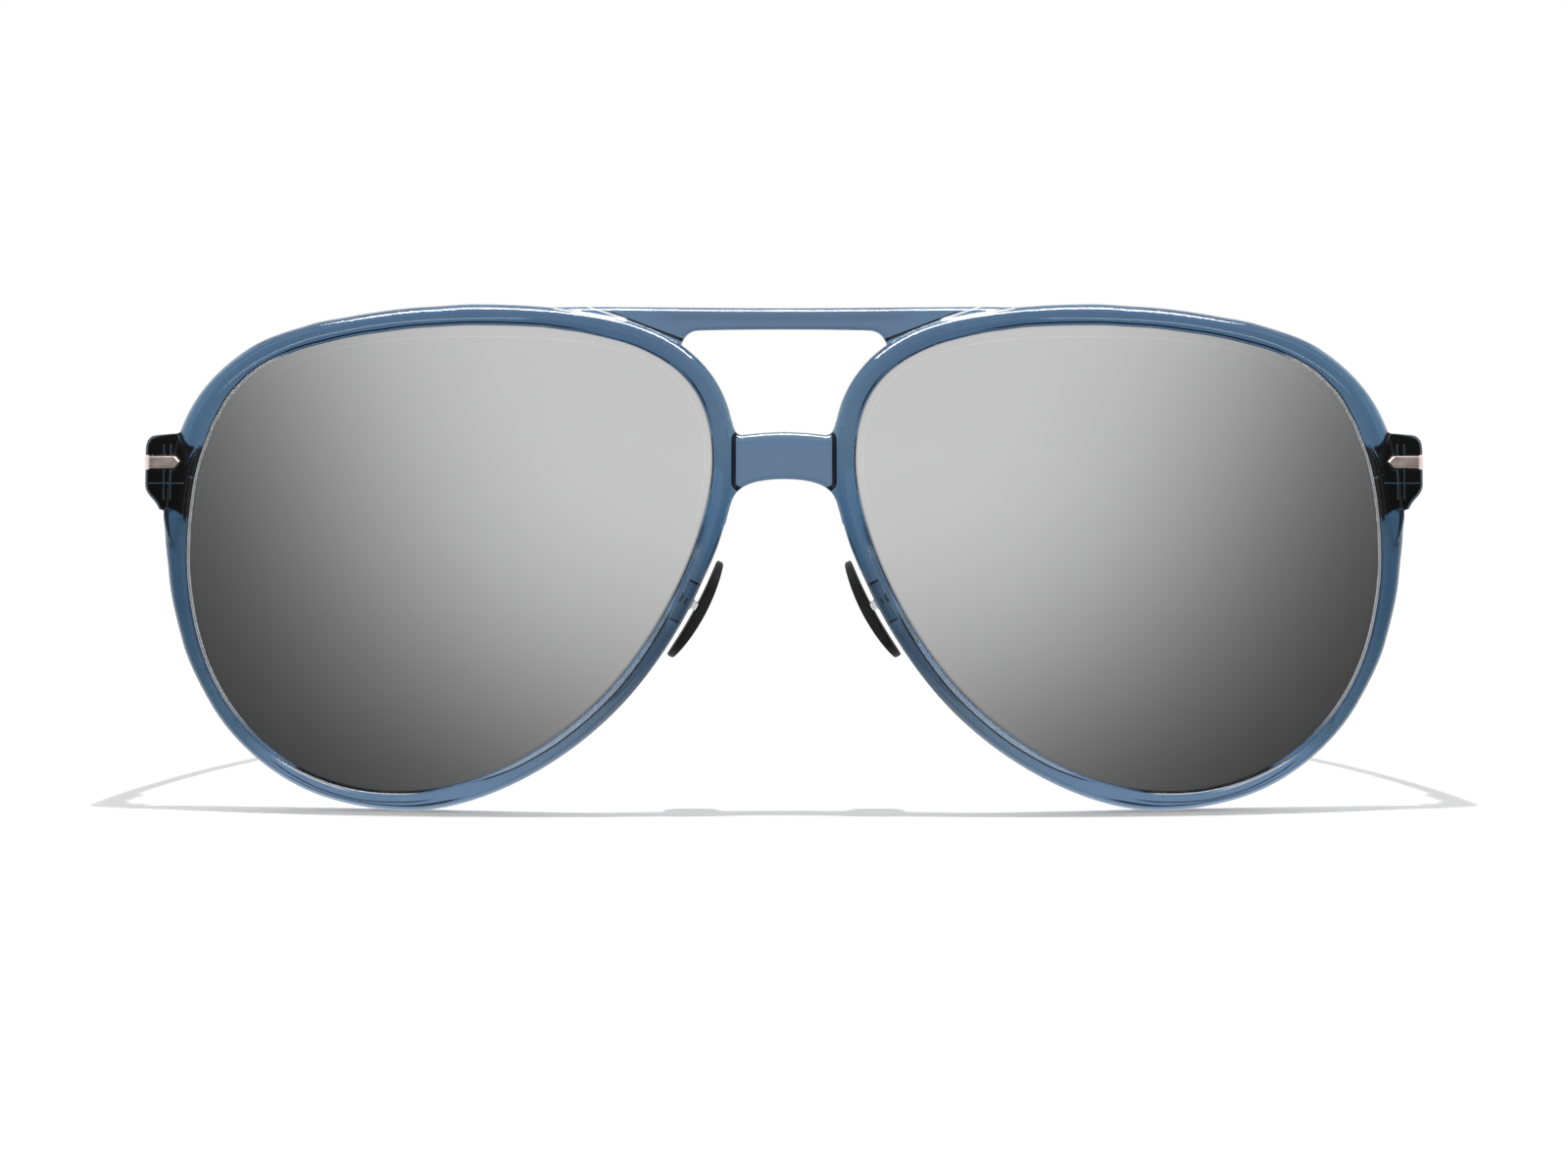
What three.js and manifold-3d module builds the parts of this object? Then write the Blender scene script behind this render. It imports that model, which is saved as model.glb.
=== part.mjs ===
// Aviator sunglasses: a moulded front with two mirror lenses, nose pads, pin hinges and folding temples.
// Millimetres. +X is the wearer's left, +Y runs back along the temples, +Z is up.
// Each piece is drawn for the wearer's left and mirrored across X = 0 for the right.
// y = 0 is the foremost point of the front's reference surface and z = 0 is the table that the
// rims and the temple tips stand on. The finished group is centred on its footprint.
import * as THREE from "three";
import { mergeVertices } from "three/addons/utils/BufferGeometryUtils.js";
import Module from "manifold-3d";

const wasm = await Module();
wasm.setup();

// ---------- driving dimensions ----------
const LENS = { radius: 88, poleX: 25, poleZ: 30.3, recess: 1.0, thickness: 1.6, tongue: 0.5 };
const RIM = { depth: 3.5, grooveDepth: 0.7, grooveSlack: 0.15, stations: 56 };
// Rim width at shares of the way round the lens, from the top, by the nose, the bottom and the lug.
const RIM_WIDTHS = [
  [0, 2.55], [0.2, 2.45], [0.35, 2.2], [0.52, 2.03], [0.64, 2.2],
  [0.75, 2.85], [0.82, 3.2], [0.9, 2.4], [1, 2.55],
];
const MID_BLEND = 9; // half width of the stretch where the two lens surfaces run into each other
const BROW = { top: 56.8, bottom: 54.2, front: 0.5, depth: 2.7, bevel: 0.6 };
const BRIDGE = { front: 0.7, depth: 2.6, bevel: 0.7 };
const LUG = { backY: 18.2, outerX: 73.35, bevel: 0.5, innerX: 66.6 };
const INLAY = { z: 39.5, height: 1.4, thickness: 0.45, proud: 0.12, tipX: 68.9, slack: 0.1 };
const AXIS = { x: 71.25, y: 20 }; // the hinge pin
const KNUCKLE = { radius: 1.2, bore: 0.58, bottom: 35.6, lowGap: 37.3, highGap: 39.8, top: 41.5, gap: 0.15 };
const PLATE = { x0: 67.75, x1: 72.55, z0: 35.4, z1: 41.7, thickness: 0.9, slack: 0.15, corner: 0.9 };
const PLATE_SCREW = { x: 68.95, lowZ: 36.5, highZ: 40.6, shank: 0.4, head: 0.78, length: 2.7 };
const PIN = { radius: 0.48, bottom: 34.85, top: 41.65, head: 1.0, headHeight: 0.6, slot: 0.26 };
const PAD = { x: 10.2, y: 8.6, z: 22.95, length: 12.4, width: 6.6, crown: 1.25, edge: 0.75, splayDeg: 10 };
const FIN = { length: 9.6, width: 7.2, thickness: 1.4, offset: -0.3 };
const TAB = { from: -2.8, to: 1.9, width: 1.6, depth: 1.1, slack: 0.15 };
const ARM = { thickness: 1.5, gap: 0.25, frontY: 18.45, bevel: 0.3, endY: 92.7, relief: 1.45 };
const CORE = { thickness: 1.0, halfHeight: 1.1, endY: 138, slack: 0.3 };
const SLEEVE = { startY: 93, thickness: 3.0, bevel: 0.8 };
const LEAF = { thickness: 0.8, gap: 0.15, frontY: 21.9, backY: 30.6, halfHeight: 1.45 };
const RIVET = { ys: [24.2, 28.6], radius: 0.42, head: 0.75, headHeight: 0.35, depth: 0.8 };

// Temple seen from the side: the blade's centreline, and its half height along it.
const TEMPLE_LINE = [
  [18.45, 38.6], [35, 36.4], [52, 33.9], [72, 30.8], [92, 26.5],
  [108, 21.9], [125, 15.1], [140, 7.9], [146.7, 4],
];
const TEMPLE_HALF_HEIGHTS = [
  [18, 2.5], [36, 2.0], [56, 1.75], [80, 1.95], [93, 2.05], [104, 2.35], [126, 3.2], [146.7, 4],
];
const TEMPLE_TOE_IN = { slope: 0.0154, curve: 0.00107 }; // how the temple runs inwards, seen from above

const FINISH = {
  frame: new THREE.MeshStandardMaterial({ color: 0x4b6f92, roughness: 0.08, transparent: true, opacity: 0.8 }),
  lens: new THREE.MeshStandardMaterial({ color: 0xa9a9ab, roughness: 0.03, metalness: 1 }),
  alloy: new THREE.MeshStandardMaterial({ color: 0x8f7d77, roughness: 0.35, metalness: 1 }),
  steel: new THREE.MeshStandardMaterial({ color: 0x141416, roughness: 0.4, metalness: 0.8 }),
  elastomer: new THREE.MeshStandardMaterial({ color: 0x1b1b1c, roughness: 0.75 }),
};

// ---------- geometry helpers ----------

// Turns every face of a geometry the other way round.
function flipped(geometry) {
  const g = geometry.index ? geometry.toNonIndexed() : geometry.clone();
  const p = g.attributes.position;
  for (let i = 0; i < p.count; i += 3) {
    const b = new THREE.Vector3().fromBufferAttribute(p, i + 1);
    const c = new THREE.Vector3().fromBufferAttribute(p, i + 2);
    p.setXYZ(i + 1, c.x, c.y, c.z);
    p.setXYZ(i + 2, b.x, b.y, b.z);
  }
  return g;
}

function toSolid(geometry) {
  const bare = geometry.clone();
  bare.deleteAttribute("normal");
  bare.deleteAttribute("uv");
  const merged = mergeVertices(bare, 1e-4);
  const corners = merged.index.array;
  const triVerts = [];
  for (let i = 0; i < corners.length; i += 3) {
    const [a, b, c] = corners.slice(i, i + 3);
    if (a !== b && b !== c && c !== a) triVerts.push(a, b, c);
  }
  const solid = new wasm.Manifold(
    new wasm.Mesh({
      numProp: 3,
      vertProperties: merged.attributes.position.array,
      triVerts: new Uint32Array(triVerts),
    }),
  );
  return solid.volume() < 0 ? toSolid(flipped(geometry)) : solid;
}

function toGeometry(solid) {
  const m = solid.getMesh();
  const g = new THREE.BufferGeometry();
  g.setAttribute("position", new THREE.BufferAttribute(Float32Array.from(m.vertProperties), 3));
  g.setIndex(new THREE.BufferAttribute(Uint32Array.from(m.triVerts), 1));
  g.computeVertexNormals();
  return g;
}

const union = (...solids) => solids.reduce((a, b) => a.add(b));
const cut = (solid, ...tools) => tools.reduce((a, b) => a.subtract(b), solid);
const mirrorX = (geometry) => flipped(geometry.clone().scale(-1, 1, 1));
const vectors = (pairs) => pairs.map(([x, y]) => new THREE.Vector2(x, y));

// A smooth value between [place, value] pairs.
function along(pairs, at) {
  const next = pairs.findIndex(([place]) => place >= at);
  if (next < 0) return pairs[pairs.length - 1][1];
  if (next === 0) return pairs[0][1];
  const [a, from] = pairs[next - 1];
  const [b, to] = pairs[next];
  return from + (to - from) * THREE.MathUtils.smoothstep(at, a, b);
}

// A slab of a 2-D shape with round edges, from 0 to its thickness, its sides on the outline given.
function slab(shape, thickness, bevel = 0, curveSegments = 12, bevelSegments = 2) {
  const g = new THREE.ExtrudeGeometry(shape, {
    depth: thickness - 2 * bevel,
    bevelEnabled: bevel > 0,
    bevelThickness: bevel,
    bevelSize: bevel,
    bevelOffset: -bevel,
    bevelSegments,
    curveSegments,
  });
  return g.translate(0, 0, bevel);
}

// Stands a slab drawn in (x, z) up in the part's frame, its thickness running back from y0,
// laid on a surface given as the depth at each (x, z).
function stand(geometry, y0, surface = () => 0) {
  const g = flipped(geometry);
  const p = g.attributes.position;
  for (let i = 0; i < p.count; i++) {
    const x = p.getX(i);
    const z = p.getY(i);
    p.setXYZ(i, x, y0 + p.getZ(i) + surface(x, z), z);
  }
  return g;
}

// A box between two corners.
function block([x0, y0, z0], [x1, y1, z1]) {
  const g = new THREE.BoxGeometry(x1 - x0, y1 - y0, z1 - z0);
  return g.translate((x0 + x1) / 2, (y0 + y1) / 2, (z0 + z1) / 2);
}

// A solid of revolution about a line through (x, y) along Z, from [radius, z] pairs.
function turnedZ(profile, x, y, segments = 16) {
  const g = new THREE.LatheGeometry(vectors(profile), segments);
  return g.rotateX(Math.PI / 2).translate(x, y, 0);
}

const rod = (radius, from, to) => [[0, from], [radius, from], [radius, to], [0, to]];

function rectangle(x0, z0, x1, z1, corner) {
  const s = new THREE.Shape();
  s.moveTo(x0 + corner, z0).lineTo(x1 - corner, z0);
  s.absarc(x1 - corner, z0 + corner, corner, -Math.PI / 2, 0);
  s.absarc(x1 - corner, z1 - corner, corner, 0, Math.PI / 2);
  s.absarc(x0 + corner, z1 - corner, corner, Math.PI / 2, Math.PI);
  s.absarc(x0 + corner, z0 + corner, corner, Math.PI, 1.5 * Math.PI);
  return s;
}

// ---------- the front's reference surface ----------

// Each half is a sphere about its lens. Over the nose the two halves blend without a crease.
function frontDepth(x, z) {
  const side = Math.abs(x);
  const across = side < MID_BLEND ? MID_BLEND / 2 + side ** 2 / (2 * MID_BLEND) : side;
  const spread = (across - LENS.poleX) ** 2 + (z - LENS.poleZ) ** 2;
  return LENS.radius - Math.sqrt(LENS.radius ** 2 - spread);
}

// The edge of the lens that shows, as five curves through its top, nose side, lower nose side,
// bottom and temple side.
function lensPath() {
  const path = new THREE.Path();
  path.moveTo(35, 54.5);
  path.bezierCurveTo(18, 54.5, 7.9, 52.5, 7.9, 39.5);
  path.bezierCurveTo(7.9, 31.5, 13, 21.9, 17.3, 16.4);
  path.bezierCurveTo(24, 7.7, 34.8, 2, 42.8, 2);
  path.bezierCurveTo(61.8, 2, 68, 15.6, 68, 30.4);
  path.bezierCurveTo(68, 50.4, 55.2, 54.5, 35, 54.5);
  return path;
}

const LENS_PATH = lensPath();

// Stations round the lens edge: the place, and the way outwards across the rim.
const STATIONS = Array.from({ length: RIM.stations }, (_, i) => {
  const share = i / RIM.stations;
  const t = LENS_PATH.getTangentAt(share);
  return { share, at: LENS_PATH.getPointAt(share), out: new THREE.Vector2(t.y, -t.x) };
});

// The point of the front at a distance outwards from the lens edge.
const across = (station, width) => station.at.clone().addScaledVector(station.out, width);
const outline = (width) => STATIONS.map((station) => across(station, width));

// ---------- front ----------

// A ring turned from a closed profile and laid round the lens. The profile holds pairs: how far
// across the rim, as a share of a width that may vary round the lens, and how far back.
function ringRoundLens(profile, width = () => 1) {
  const core = 10;
  const g = new THREE.LatheGeometry(vectors(profile.map(([u, back]) => [core + u, back])), RIM.stations);
  const p = g.attributes.position;
  for (let i = 0; i < p.count; i++) {
    const station = stationAt(p.getX(i), p.getZ(i));
    const u = Math.hypot(p.getX(i), p.getZ(i)) - core;
    const spot = across(station, u * width(station.share));
    p.setXYZ(i, spot.x, p.getY(i) + frontDepth(spot.x, spot.y), spot.y);
  }
  return toSolid(g);
}

// The station that a turned point belongs to.
function stationAt(x, z) {
  const turn = Math.atan2(x, z) / (2 * Math.PI);
  return STATIONS[(Math.round(turn * RIM.stations) + RIM.stations) % RIM.stations];
}

// Domed in front, with a chamfer down to the lens.
function rim() {
  const back = RIM.depth;
  const profile = [
    [0, 0.6], [0.22, 0.1], [0.55, 0], [0.85, 0.3], [1, 0.95], [1, back - 0.6], [0.8, back], [0, back],
  ];
  return ringRoundLens([...profile, profile[0]], (share) => along(RIM_WIDTHS, share));
}

function lensGroove() {
  const from = LENS.recess - RIM.grooveSlack;
  const to = LENS.recess + LENS.thickness + RIM.grooveSlack;
  return ringRoundLens([[-1, from], [RIM.grooveDepth, from], [RIM.grooveDepth, to], [-1, to], [-1, from]]);
}

const lensOpening = () => toSolid(stand(slab(new THREE.Shape(outline(0)), 40), -10));

// Points along the top of the brow bar, so that it bends with the surface.
function stations(x0, z0, x1, z1, count) {
  return Array.from({ length: count }, (_, i) => {
    const share = i / count;
    return [x0 + (x1 - x0) * share, z0 + (z1 - z0) * share];
  });
}

function browBar() {
  const half = [[22, 54.2], [16.5, 52.9], [13.2, 51.2], [12.0, 51.9], [11.3, 53.1], [9.6, BROW.bottom]];
  const shape = new THREE.Shape(
    vectors([
      ...stations(-27, BROW.top, 27, BROW.top, 18),
      [27, BROW.top],
      ...half,
      ...stations(7, BROW.bottom, -9.6, BROW.bottom, 7),
      ...half.map(([x, z]) => [-x, z]).reverse(),
    ]).reverse(),
  );
  return toSolid(stand(slab(shape, BROW.depth, BROW.bevel), BROW.front, frontDepth));
}

function noseBridge() {
  const s = new THREE.Shape();
  s.moveTo(-9.8, 43.4);
  s.bezierCurveTo(-7, 43.8, -6, 42.2, -4.6, 42.4);
  s.quadraticCurveTo(0, 43.2, 4.6, 42.4);
  s.bezierCurveTo(6, 42.2, 7, 43.8, 9.8, 43.4);
  s.lineTo(9.8, 32.9);
  s.bezierCurveTo(7.2, 33, 6.2, 35, 5.3, 36);
  s.bezierCurveTo(4.5, 36.9, 2.8, 37.5, 0, 37.5);
  s.bezierCurveTo(-2.8, 37.5, -4.5, 36.9, -5.3, 36);
  s.bezierCurveTo(-6.2, 35, -7.2, 33, -9.8, 32.9);
  return toSolid(stand(slab(s, BRIDGE.depth, BRIDGE.bevel, 9), BRIDGE.front, frontDepth));
}

// The end piece that carries the hinge, flat at the back.
function lug() {
  const s = new THREE.Shape();
  s.moveTo(LUG.innerX, 45.5);
  s.lineTo(68.2, 44.6);
  s.bezierCurveTo(68.7, 43.7, 69, 43.25, 69.7, 43.1);
  s.bezierCurveTo(72.4, 42.8, LUG.outerX - 0.05, 42.6, LUG.outerX, 40.9);
  s.lineTo(LUG.outerX, 37);
  s.bezierCurveTo(LUG.outerX, 35.6, 71.9, 35.3, 71.5, 33.9);
  s.lineTo(70.75, 31.8);
  s.lineTo(69.4, 31);
  s.lineTo(LUG.innerX, 34.8);
  const body = toSolid(stand(slab(s, 9, LUG.bevel, 5), 0, frontDepth));
  return cut(body, toSolid(block([60, LUG.backY, 25], [80, 40, 50])));
}

const plateShape = (slack) =>
  rectangle(PLATE.x0 - slack, PLATE.z0 - slack, PLATE.x1 + slack, PLATE.z1 + slack, PLATE.corner);

// A rod along Y at (x, z).
function rodY(radius, y0, y1, x, z, segments = 10) {
  const g = new THREE.CylinderGeometry(radius, radius, y1 - y0, segments);
  return g.translate(x, (y0 + y1) / 2, z);
}

function hingePocket() {
  const front = LUG.backY - PLATE.thickness - PLATE.slack;
  const recess = toSolid(stand(slab(plateShape(PLATE.slack), 3, 0, 4), front));
  const holes = [PLATE_SCREW.lowZ, PLATE_SCREW.highZ].map((z) =>
    toSolid(rodY(PLATE_SCREW.shank + 0.1, LUG.backY - PLATE_SCREW.length - 0.3, LUG.backY, PLATE_SCREW.x, z)),
  );
  return union(recess, ...holes);
}

// The metal strip let into the lug: pointed on the front, it turns the corner to the hinge line.
function inlay(slack = 0) {
  const skin = (offset) => {
    const corner = LUG.outerX - 0.6;
    const front = [INLAY.tipX - 1, 70, 71.2, corner - 0.2].map((x) => [x, frontDepth(x, INLAY.z) + offset]);
    const bend = frontDepth(corner, INLAY.z);
    const side = LUG.outerX - offset;
    return [...front, [side - 0.45, bend + 0.1 + offset / 2], [side - 0.12, bend + 0.5], [side, bend + 1.1]];
  };
  const outer = skin(-INLAY.proud - slack);
  const inner = skin(INLAY.thickness - INLAY.proud + slack);
  const back = LUG.backY + (slack > 0 ? 1 : 0);
  const plan = new THREE.Shape(
    vectors([...outer, [outer.at(-1)[0], back], [inner.at(-1)[0], back], ...inner.reverse()]),
  );
  const half = INLAY.height / 2 + slack;
  const tip = INLAY.tipX - slack;
  const strip = slab(plan, 2 * half).translate(0, 0, INLAY.z - half);
  const arrow = new THREE.Shape(
    vectors([[tip, INLAY.z], [tip + half, INLAY.z - half], [80, INLAY.z - half], [80, INLAY.z + half], [tip + half, INLAY.z + half]]),
  );
  return toSolid(strip).intersect(toSolid(stand(slab(arrow, 30), 5)));
}

// ---------- nose pad ----------

// The pad's own axes: along the rim, towards the nose, and back, splayed about the rim's run.
function padMatrix() {
  const run = new THREE.Vector3(0.473, 0, -0.881).normalize();
  const nose = new THREE.Vector3(run.z, 0, -run.x);
  const back = new THREE.Vector3(0, 1, 0);
  const splay = new THREE.Matrix4().makeRotationAxis(run, THREE.MathUtils.degToRad(PAD.splayDeg));
  return new THREE.Matrix4()
    .makeBasis(run, nose, back)
    .premultiply(splay)
    .setPosition(PAD.x, PAD.y, PAD.z);
}

// A box in the pad's axes: along the rim, towards the nose, back.
const padBlock = (low, high) => toSolid(block(low, high).applyMatrix4(padMatrix()));

function fin() {
  const shape = rectangle(-FIN.length / 2, -FIN.width / 2, FIN.length / 2, FIN.width / 2, 1.6);
  const g = slab(shape, FIN.thickness, 0.3, 4).rotateX(-Math.PI / 2);
  return toSolid(g.translate(0, FIN.offset - FIN.thickness, -0.7).applyMatrix4(padMatrix()));
}

function tab(slack = 0) {
  const half = TAB.width / 2 + slack;
  return padBlock(
    [TAB.from - slack, FIN.offset - TAB.depth - slack, -half],
    [TAB.to + slack, FIN.offset + 0.4, half],
  );
}

function nosePad() {
  const half = PAD.length / 2;
  const s = new THREE.Shape();
  s.moveTo(-half, 0);
  s.lineTo(half, 0);
  s.quadraticCurveTo(half + 0.1, PAD.edge, half - 0.4, PAD.edge + 0.1);
  s.quadraticCurveTo(0, 2 * PAD.crown - PAD.edge, -half + 0.4, PAD.edge + 0.1);
  s.quadraticCurveTo(-half - 0.1, PAD.edge, -half, 0);
  const body = slab(s, PAD.width, 0, 6).translate(0, FIN.offset + 0.1, -PAD.width / 2);
  // Rounded off at its ends, seen from the nose.
  const face = rectangle(-half, -PAD.width / 2, half, PAD.width / 2, PAD.width / 2 - 0.1);
  const round = slab(face, 4, 0, 5).rotateX(-Math.PI / 2).translate(0, -2, 0);
  const pad = toSolid(body.applyMatrix4(padMatrix())).intersect(toSolid(round.applyMatrix4(padMatrix())));
  return union(pad, tab());
}

// ---------- hinge ----------

function ring(z0, z1) {
  const { radius, bore } = KNUCKLE;
  return toSolid(turnedZ([[bore, z0], [radius, z0], [radius, z1], [bore, z1], [bore, z0]], AXIS.x, AXIS.y));
}

const boreRod = () => toSolid(turnedZ(rod(KNUCKLE.bore, 30, 45), AXIS.x, AXIS.y));

// The frame's half: a plate let into the lug, with two knuckles.
function hingePlate() {
  const plate = toSolid(stand(slab(plateShape(0), PLATE.thickness, 0, 4), LUG.backY - PLATE.thickness));
  const spans = [[KNUCKLE.bottom, KNUCKLE.lowGap], [KNUCKLE.highGap, KNUCKLE.top]];
  const necks = spans.map(([z0, z1]) => toSolid(block([AXIS.x - 0.9, LUG.backY - 0.3, z0], [AXIS.x + 0.4, AXIS.y, z1])));
  const knuckles = spans.map(([z0, z1]) => ring(z0, z1));
  const seats = [PLATE_SCREW.lowZ, PLATE_SCREW.highZ].flatMap((z) => [
    toSolid(rodY(PLATE_SCREW.shank + 0.1, 10, 30, PLATE_SCREW.x, z)),
    toSolid(rodY(PLATE_SCREW.head + 0.1, LUG.backY - 0.5, 30, PLATE_SCREW.x, z)),
  ]);
  return cut(union(cut(union(plate, ...necks), boreRod()), ...knuckles), ...seats);
}

function plateScrew(z) {
  const { x, shank, head, length } = PLATE_SCREW;
  const body = union(
    toSolid(rodY(shank, LUG.backY - length, LUG.backY, x, z)),
    toSolid(rodY(head, LUG.backY - 0.42, LUG.backY + 0.06, x, z)),
  );
  return cut(body, toSolid(block([x - 1, LUG.backY - 0.15, z - 0.1], [x + 1, LUG.backY + 1, z + 0.1])));
}

// Put in from below, its slotted head under the lower knuckle.
function hingePin() {
  const { radius, bottom, top, head, headHeight, slot } = PIN;
  const profile = [
    [0, bottom], [head - 0.2, bottom], [head, bottom + 0.2], [head, bottom + headHeight],
    [radius, bottom + headHeight], [radius, top - 0.15], [radius - 0.15, top], [0, top],
  ];
  const groove = block([60, AXIS.y - slot / 2, bottom - 1], [80, AXIS.y + slot / 2, bottom + 0.25]);
  return cut(toSolid(turnedZ(profile, AXIS.x, AXIS.y)), toSolid(groove));
}

// ---------- temple ----------

const TEMPLE_CURVE = new THREE.SplineCurve(vectors(TEMPLE_LINE));

// How far the temple has run inwards at y.
function toeIn(y) {
  const t = Math.max(0, y - ARM.frontY);
  return TEMPLE_TOE_IN.slope * t + TEMPLE_TOE_IN.curve * t ** 2;
}

// The blade's outline from the side between two y, with a half height along it. A round end
// closes it at the back.
function blade(fromY, toY, halfHeight, roundEnd = 0, count = 18) {
  const upper = [];
  const lower = [];
  const shares = Array.from({ length: 241 }, (_, i) => i / 240);
  const inside = shares.filter((s) => {
    const y = TEMPLE_CURVE.getPoint(s).x;
    return y >= fromY - 1e-6 && y <= toY + 1e-6;
  });
  for (let i = 0; i <= count; i++) {
    const share = inside[0] + ((inside.at(-1) - inside[0]) * i) / count;
    const p = TEMPLE_CURVE.getPoint(share);
    const t = TEMPLE_CURVE.getTangent(share);
    const h = halfHeight(p.x);
    upper.push(new THREE.Vector2(p.x - t.y * h, p.y + t.x * h));
    lower.push(new THREE.Vector2(p.x + t.y * h, p.y - t.x * h));
  }
  const end = [];
  if (roundEnd > 0) {
    const t = TEMPLE_CURVE.getTangent(inside.at(-1));
    const p = TEMPLE_CURVE.getPoint(inside.at(-1));
    const h = halfHeight(p.x);
    for (let k = 1; k < roundEnd; k++) {
      const a = Math.PI / 2 - (Math.PI * k) / roundEnd;
      const [u, v] = [h * Math.cos(a), h * Math.sin(a)];
      end.push(new THREE.Vector2(p.x + t.x * u - t.y * v, p.y + t.y * u + t.x * v));
    }
  }
  return new THREE.Shape([...lower, ...end.reverse(), ...upper.reverse()]);
}

// Stands a blade drawn in (y, z) up on the temple's plan curve, its outer face at outerX.
function bladeSolid(shape, thickness, bevel, outerX) {
  const g = slab(shape, thickness, bevel, 8, 1);
  const p = g.attributes.position;
  for (let i = 0; i < p.count; i++) {
    const y = p.getX(i);
    p.setXYZ(i, outerX - thickness + p.getZ(i) - toeIn(y), y, p.getY(i));
  }
  return toSolid(g);
}

const bladeHalf = (y) => along(TEMPLE_HALF_HEIGHTS, y);
const ARM_OUTER = LUG.outerX;
const CORE_OUTER = ARM_OUTER - (ARM.thickness - CORE.thickness) / 2;
const SLEEVE_OUTER = ARM_OUTER + (SLEEVE.thickness - ARM.thickness) / 2;

// The height of the temple's centreline at y.
function templeHeight(y) {
  let [low, high] = [0, 1];
  while (high - low > 1e-6) {
    const middle = (low + high) / 2;
    if (TEMPLE_CURVE.getPoint(middle).x < y) low = middle;
    else high = middle;
  }
  return TEMPLE_CURVE.getPoint(low).y;
}

// A rod along X through the temple at y, between two distances in from the arm's outer face.
function rodX(radius, in0, in1, y, segments = 10) {
  const z = templeHeight(y);
  const g = new THREE.CylinderGeometry(radius, radius, in1 - in0, segments).rotateZ(Math.PI / 2);
  return g.translate(ARM_OUTER - toeIn(y) - (in0 + in1) / 2, y, z);
}

function templeArm() {
  const shown = bladeSolid(blade(ARM.frontY, ARM.endY, bladeHalf), ARM.thickness, ARM.bevel, ARM_OUTER);
  const core = bladeSolid(
    blade(ARM.endY - 3, CORE.endY, () => CORE.halfHeight, 6), CORE.thickness, 0, CORE_OUTER);
  const relief = toSolid(turnedZ(rod(ARM.relief, 30, 45), AXIS.x, AXIS.y, 24));
  const holes = RIVET.ys.map((y) =>
    toSolid(rodX(RIVET.radius + 0.1, ARM.thickness - RIVET.depth - 0.1, ARM.thickness + 1, y)));
  const square = toSolid(block([60, 0, 20], [80, ARM.frontY, 50]));
  return cut(union(shown, core), relief, square, ...holes);
}

function templeSleeve() {
  const outer = bladeSolid(
    blade(SLEEVE.startY, TEMPLE_LINE.at(-1)[0], bladeHalf, 10), SLEEVE.thickness, SLEEVE.bevel, SLEEVE_OUTER);
  const channel = bladeSolid(
    blade(SLEEVE.startY - 6, CORE.endY + 0.4, () => CORE.halfHeight + CORE.slack, 6),
    CORE.thickness + 2 * CORE.slack, 0, CORE_OUTER + CORE.slack);
  const table = toSolid(block([20, 100, -10], [100, 200, 0]));
  return cut(outer, channel, table);
}

// The temple's half of the hinge: a plate on the arm's inner face, with the middle knuckle.
function templeLeaf() {
  const outer = ARM_OUTER - ARM.thickness - LEAF.gap;
  const plate = bladeSolid(
    blade(LEAF.frontY, LEAF.backY, () => LEAF.halfHeight, 6, 8), LEAF.thickness, 0, outer);
  const z0 = KNUCKLE.lowGap + KNUCKLE.gap;
  const z1 = KNUCKLE.highGap - KNUCKLE.gap;
  const neck = toSolid(block([outer - LEAF.thickness - 0.12, AXIS.y, z0], [outer - 0.35, LEAF.frontY + 1.2, z1]));
  const holes = RIVET.ys.map((y) => toSolid(rodX(RIVET.radius + 0.1, 0, 5, y)));
  return cut(union(cut(union(plate, neck), boreRod()), ring(z0, z1)), ...holes);
}

function leafRivet(y) {
  const inner = ARM.thickness + LEAF.gap + LEAF.thickness;
  return union(
    toSolid(rodX(RIVET.radius, ARM.thickness - RIVET.depth, inner + 0.2, y)),
    toSolid(rodX(RIVET.head, inner + 0.12, inner + 0.12 + RIVET.headHeight, y)),
  );
}

// ---------- assembly ----------

// A shell of even thickness on the reference surface, its edge in the rim's groove.
function lens() {
  const rings = [0, 0.4, 0.75, 1];
  const face = (back) => rings.map((r) => [r, LENS.recess + back]);
  const profile = [...face(0), ...face(LENS.thickness).reverse()];
  const g = new THREE.LatheGeometry(vectors(profile), RIM.stations);
  const p = g.attributes.position;
  const centre = new THREE.Vector2(LENS.poleX + 13, LENS.poleZ);
  for (let i = 0; i < p.count; i++) {
    const edge = across(stationAt(p.getX(i), p.getZ(i)), LENS.tongue);
    const spot = centre.clone().lerp(edge, Math.hypot(p.getX(i), p.getZ(i)));
    p.setXYZ(i, spot.x, p.getY(i) + frontDepth(spot.x, spot.y), spot.y);
  }
  return toSolid(g);
}

function frameFront() {
  const both = (solid) => union(solid, toSolid(mirrorX(toGeometry(solid))));
  const body = union(both(lug()), browBar(), noseBridge());
  const clear = union(cut(body, both(lensOpening())), both(rim()));
  const table = toSolid(block([-100, -50, -10], [100, 50, 0]));
  return cut(
    union(clear, both(fin())), both(lensGroove()), both(hingePocket()), both(inlay(INLAY.slack)),
    both(tab(TAB.slack)), table);
}

const sunglasses = new THREE.Group();

function add(name, solid, material, side = 1) {
  const mesh = new THREE.Mesh(toGeometry(solid), material);
  mesh.name = name;
  mesh.scale.x = side;
  sunglasses.add(mesh);
}

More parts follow.
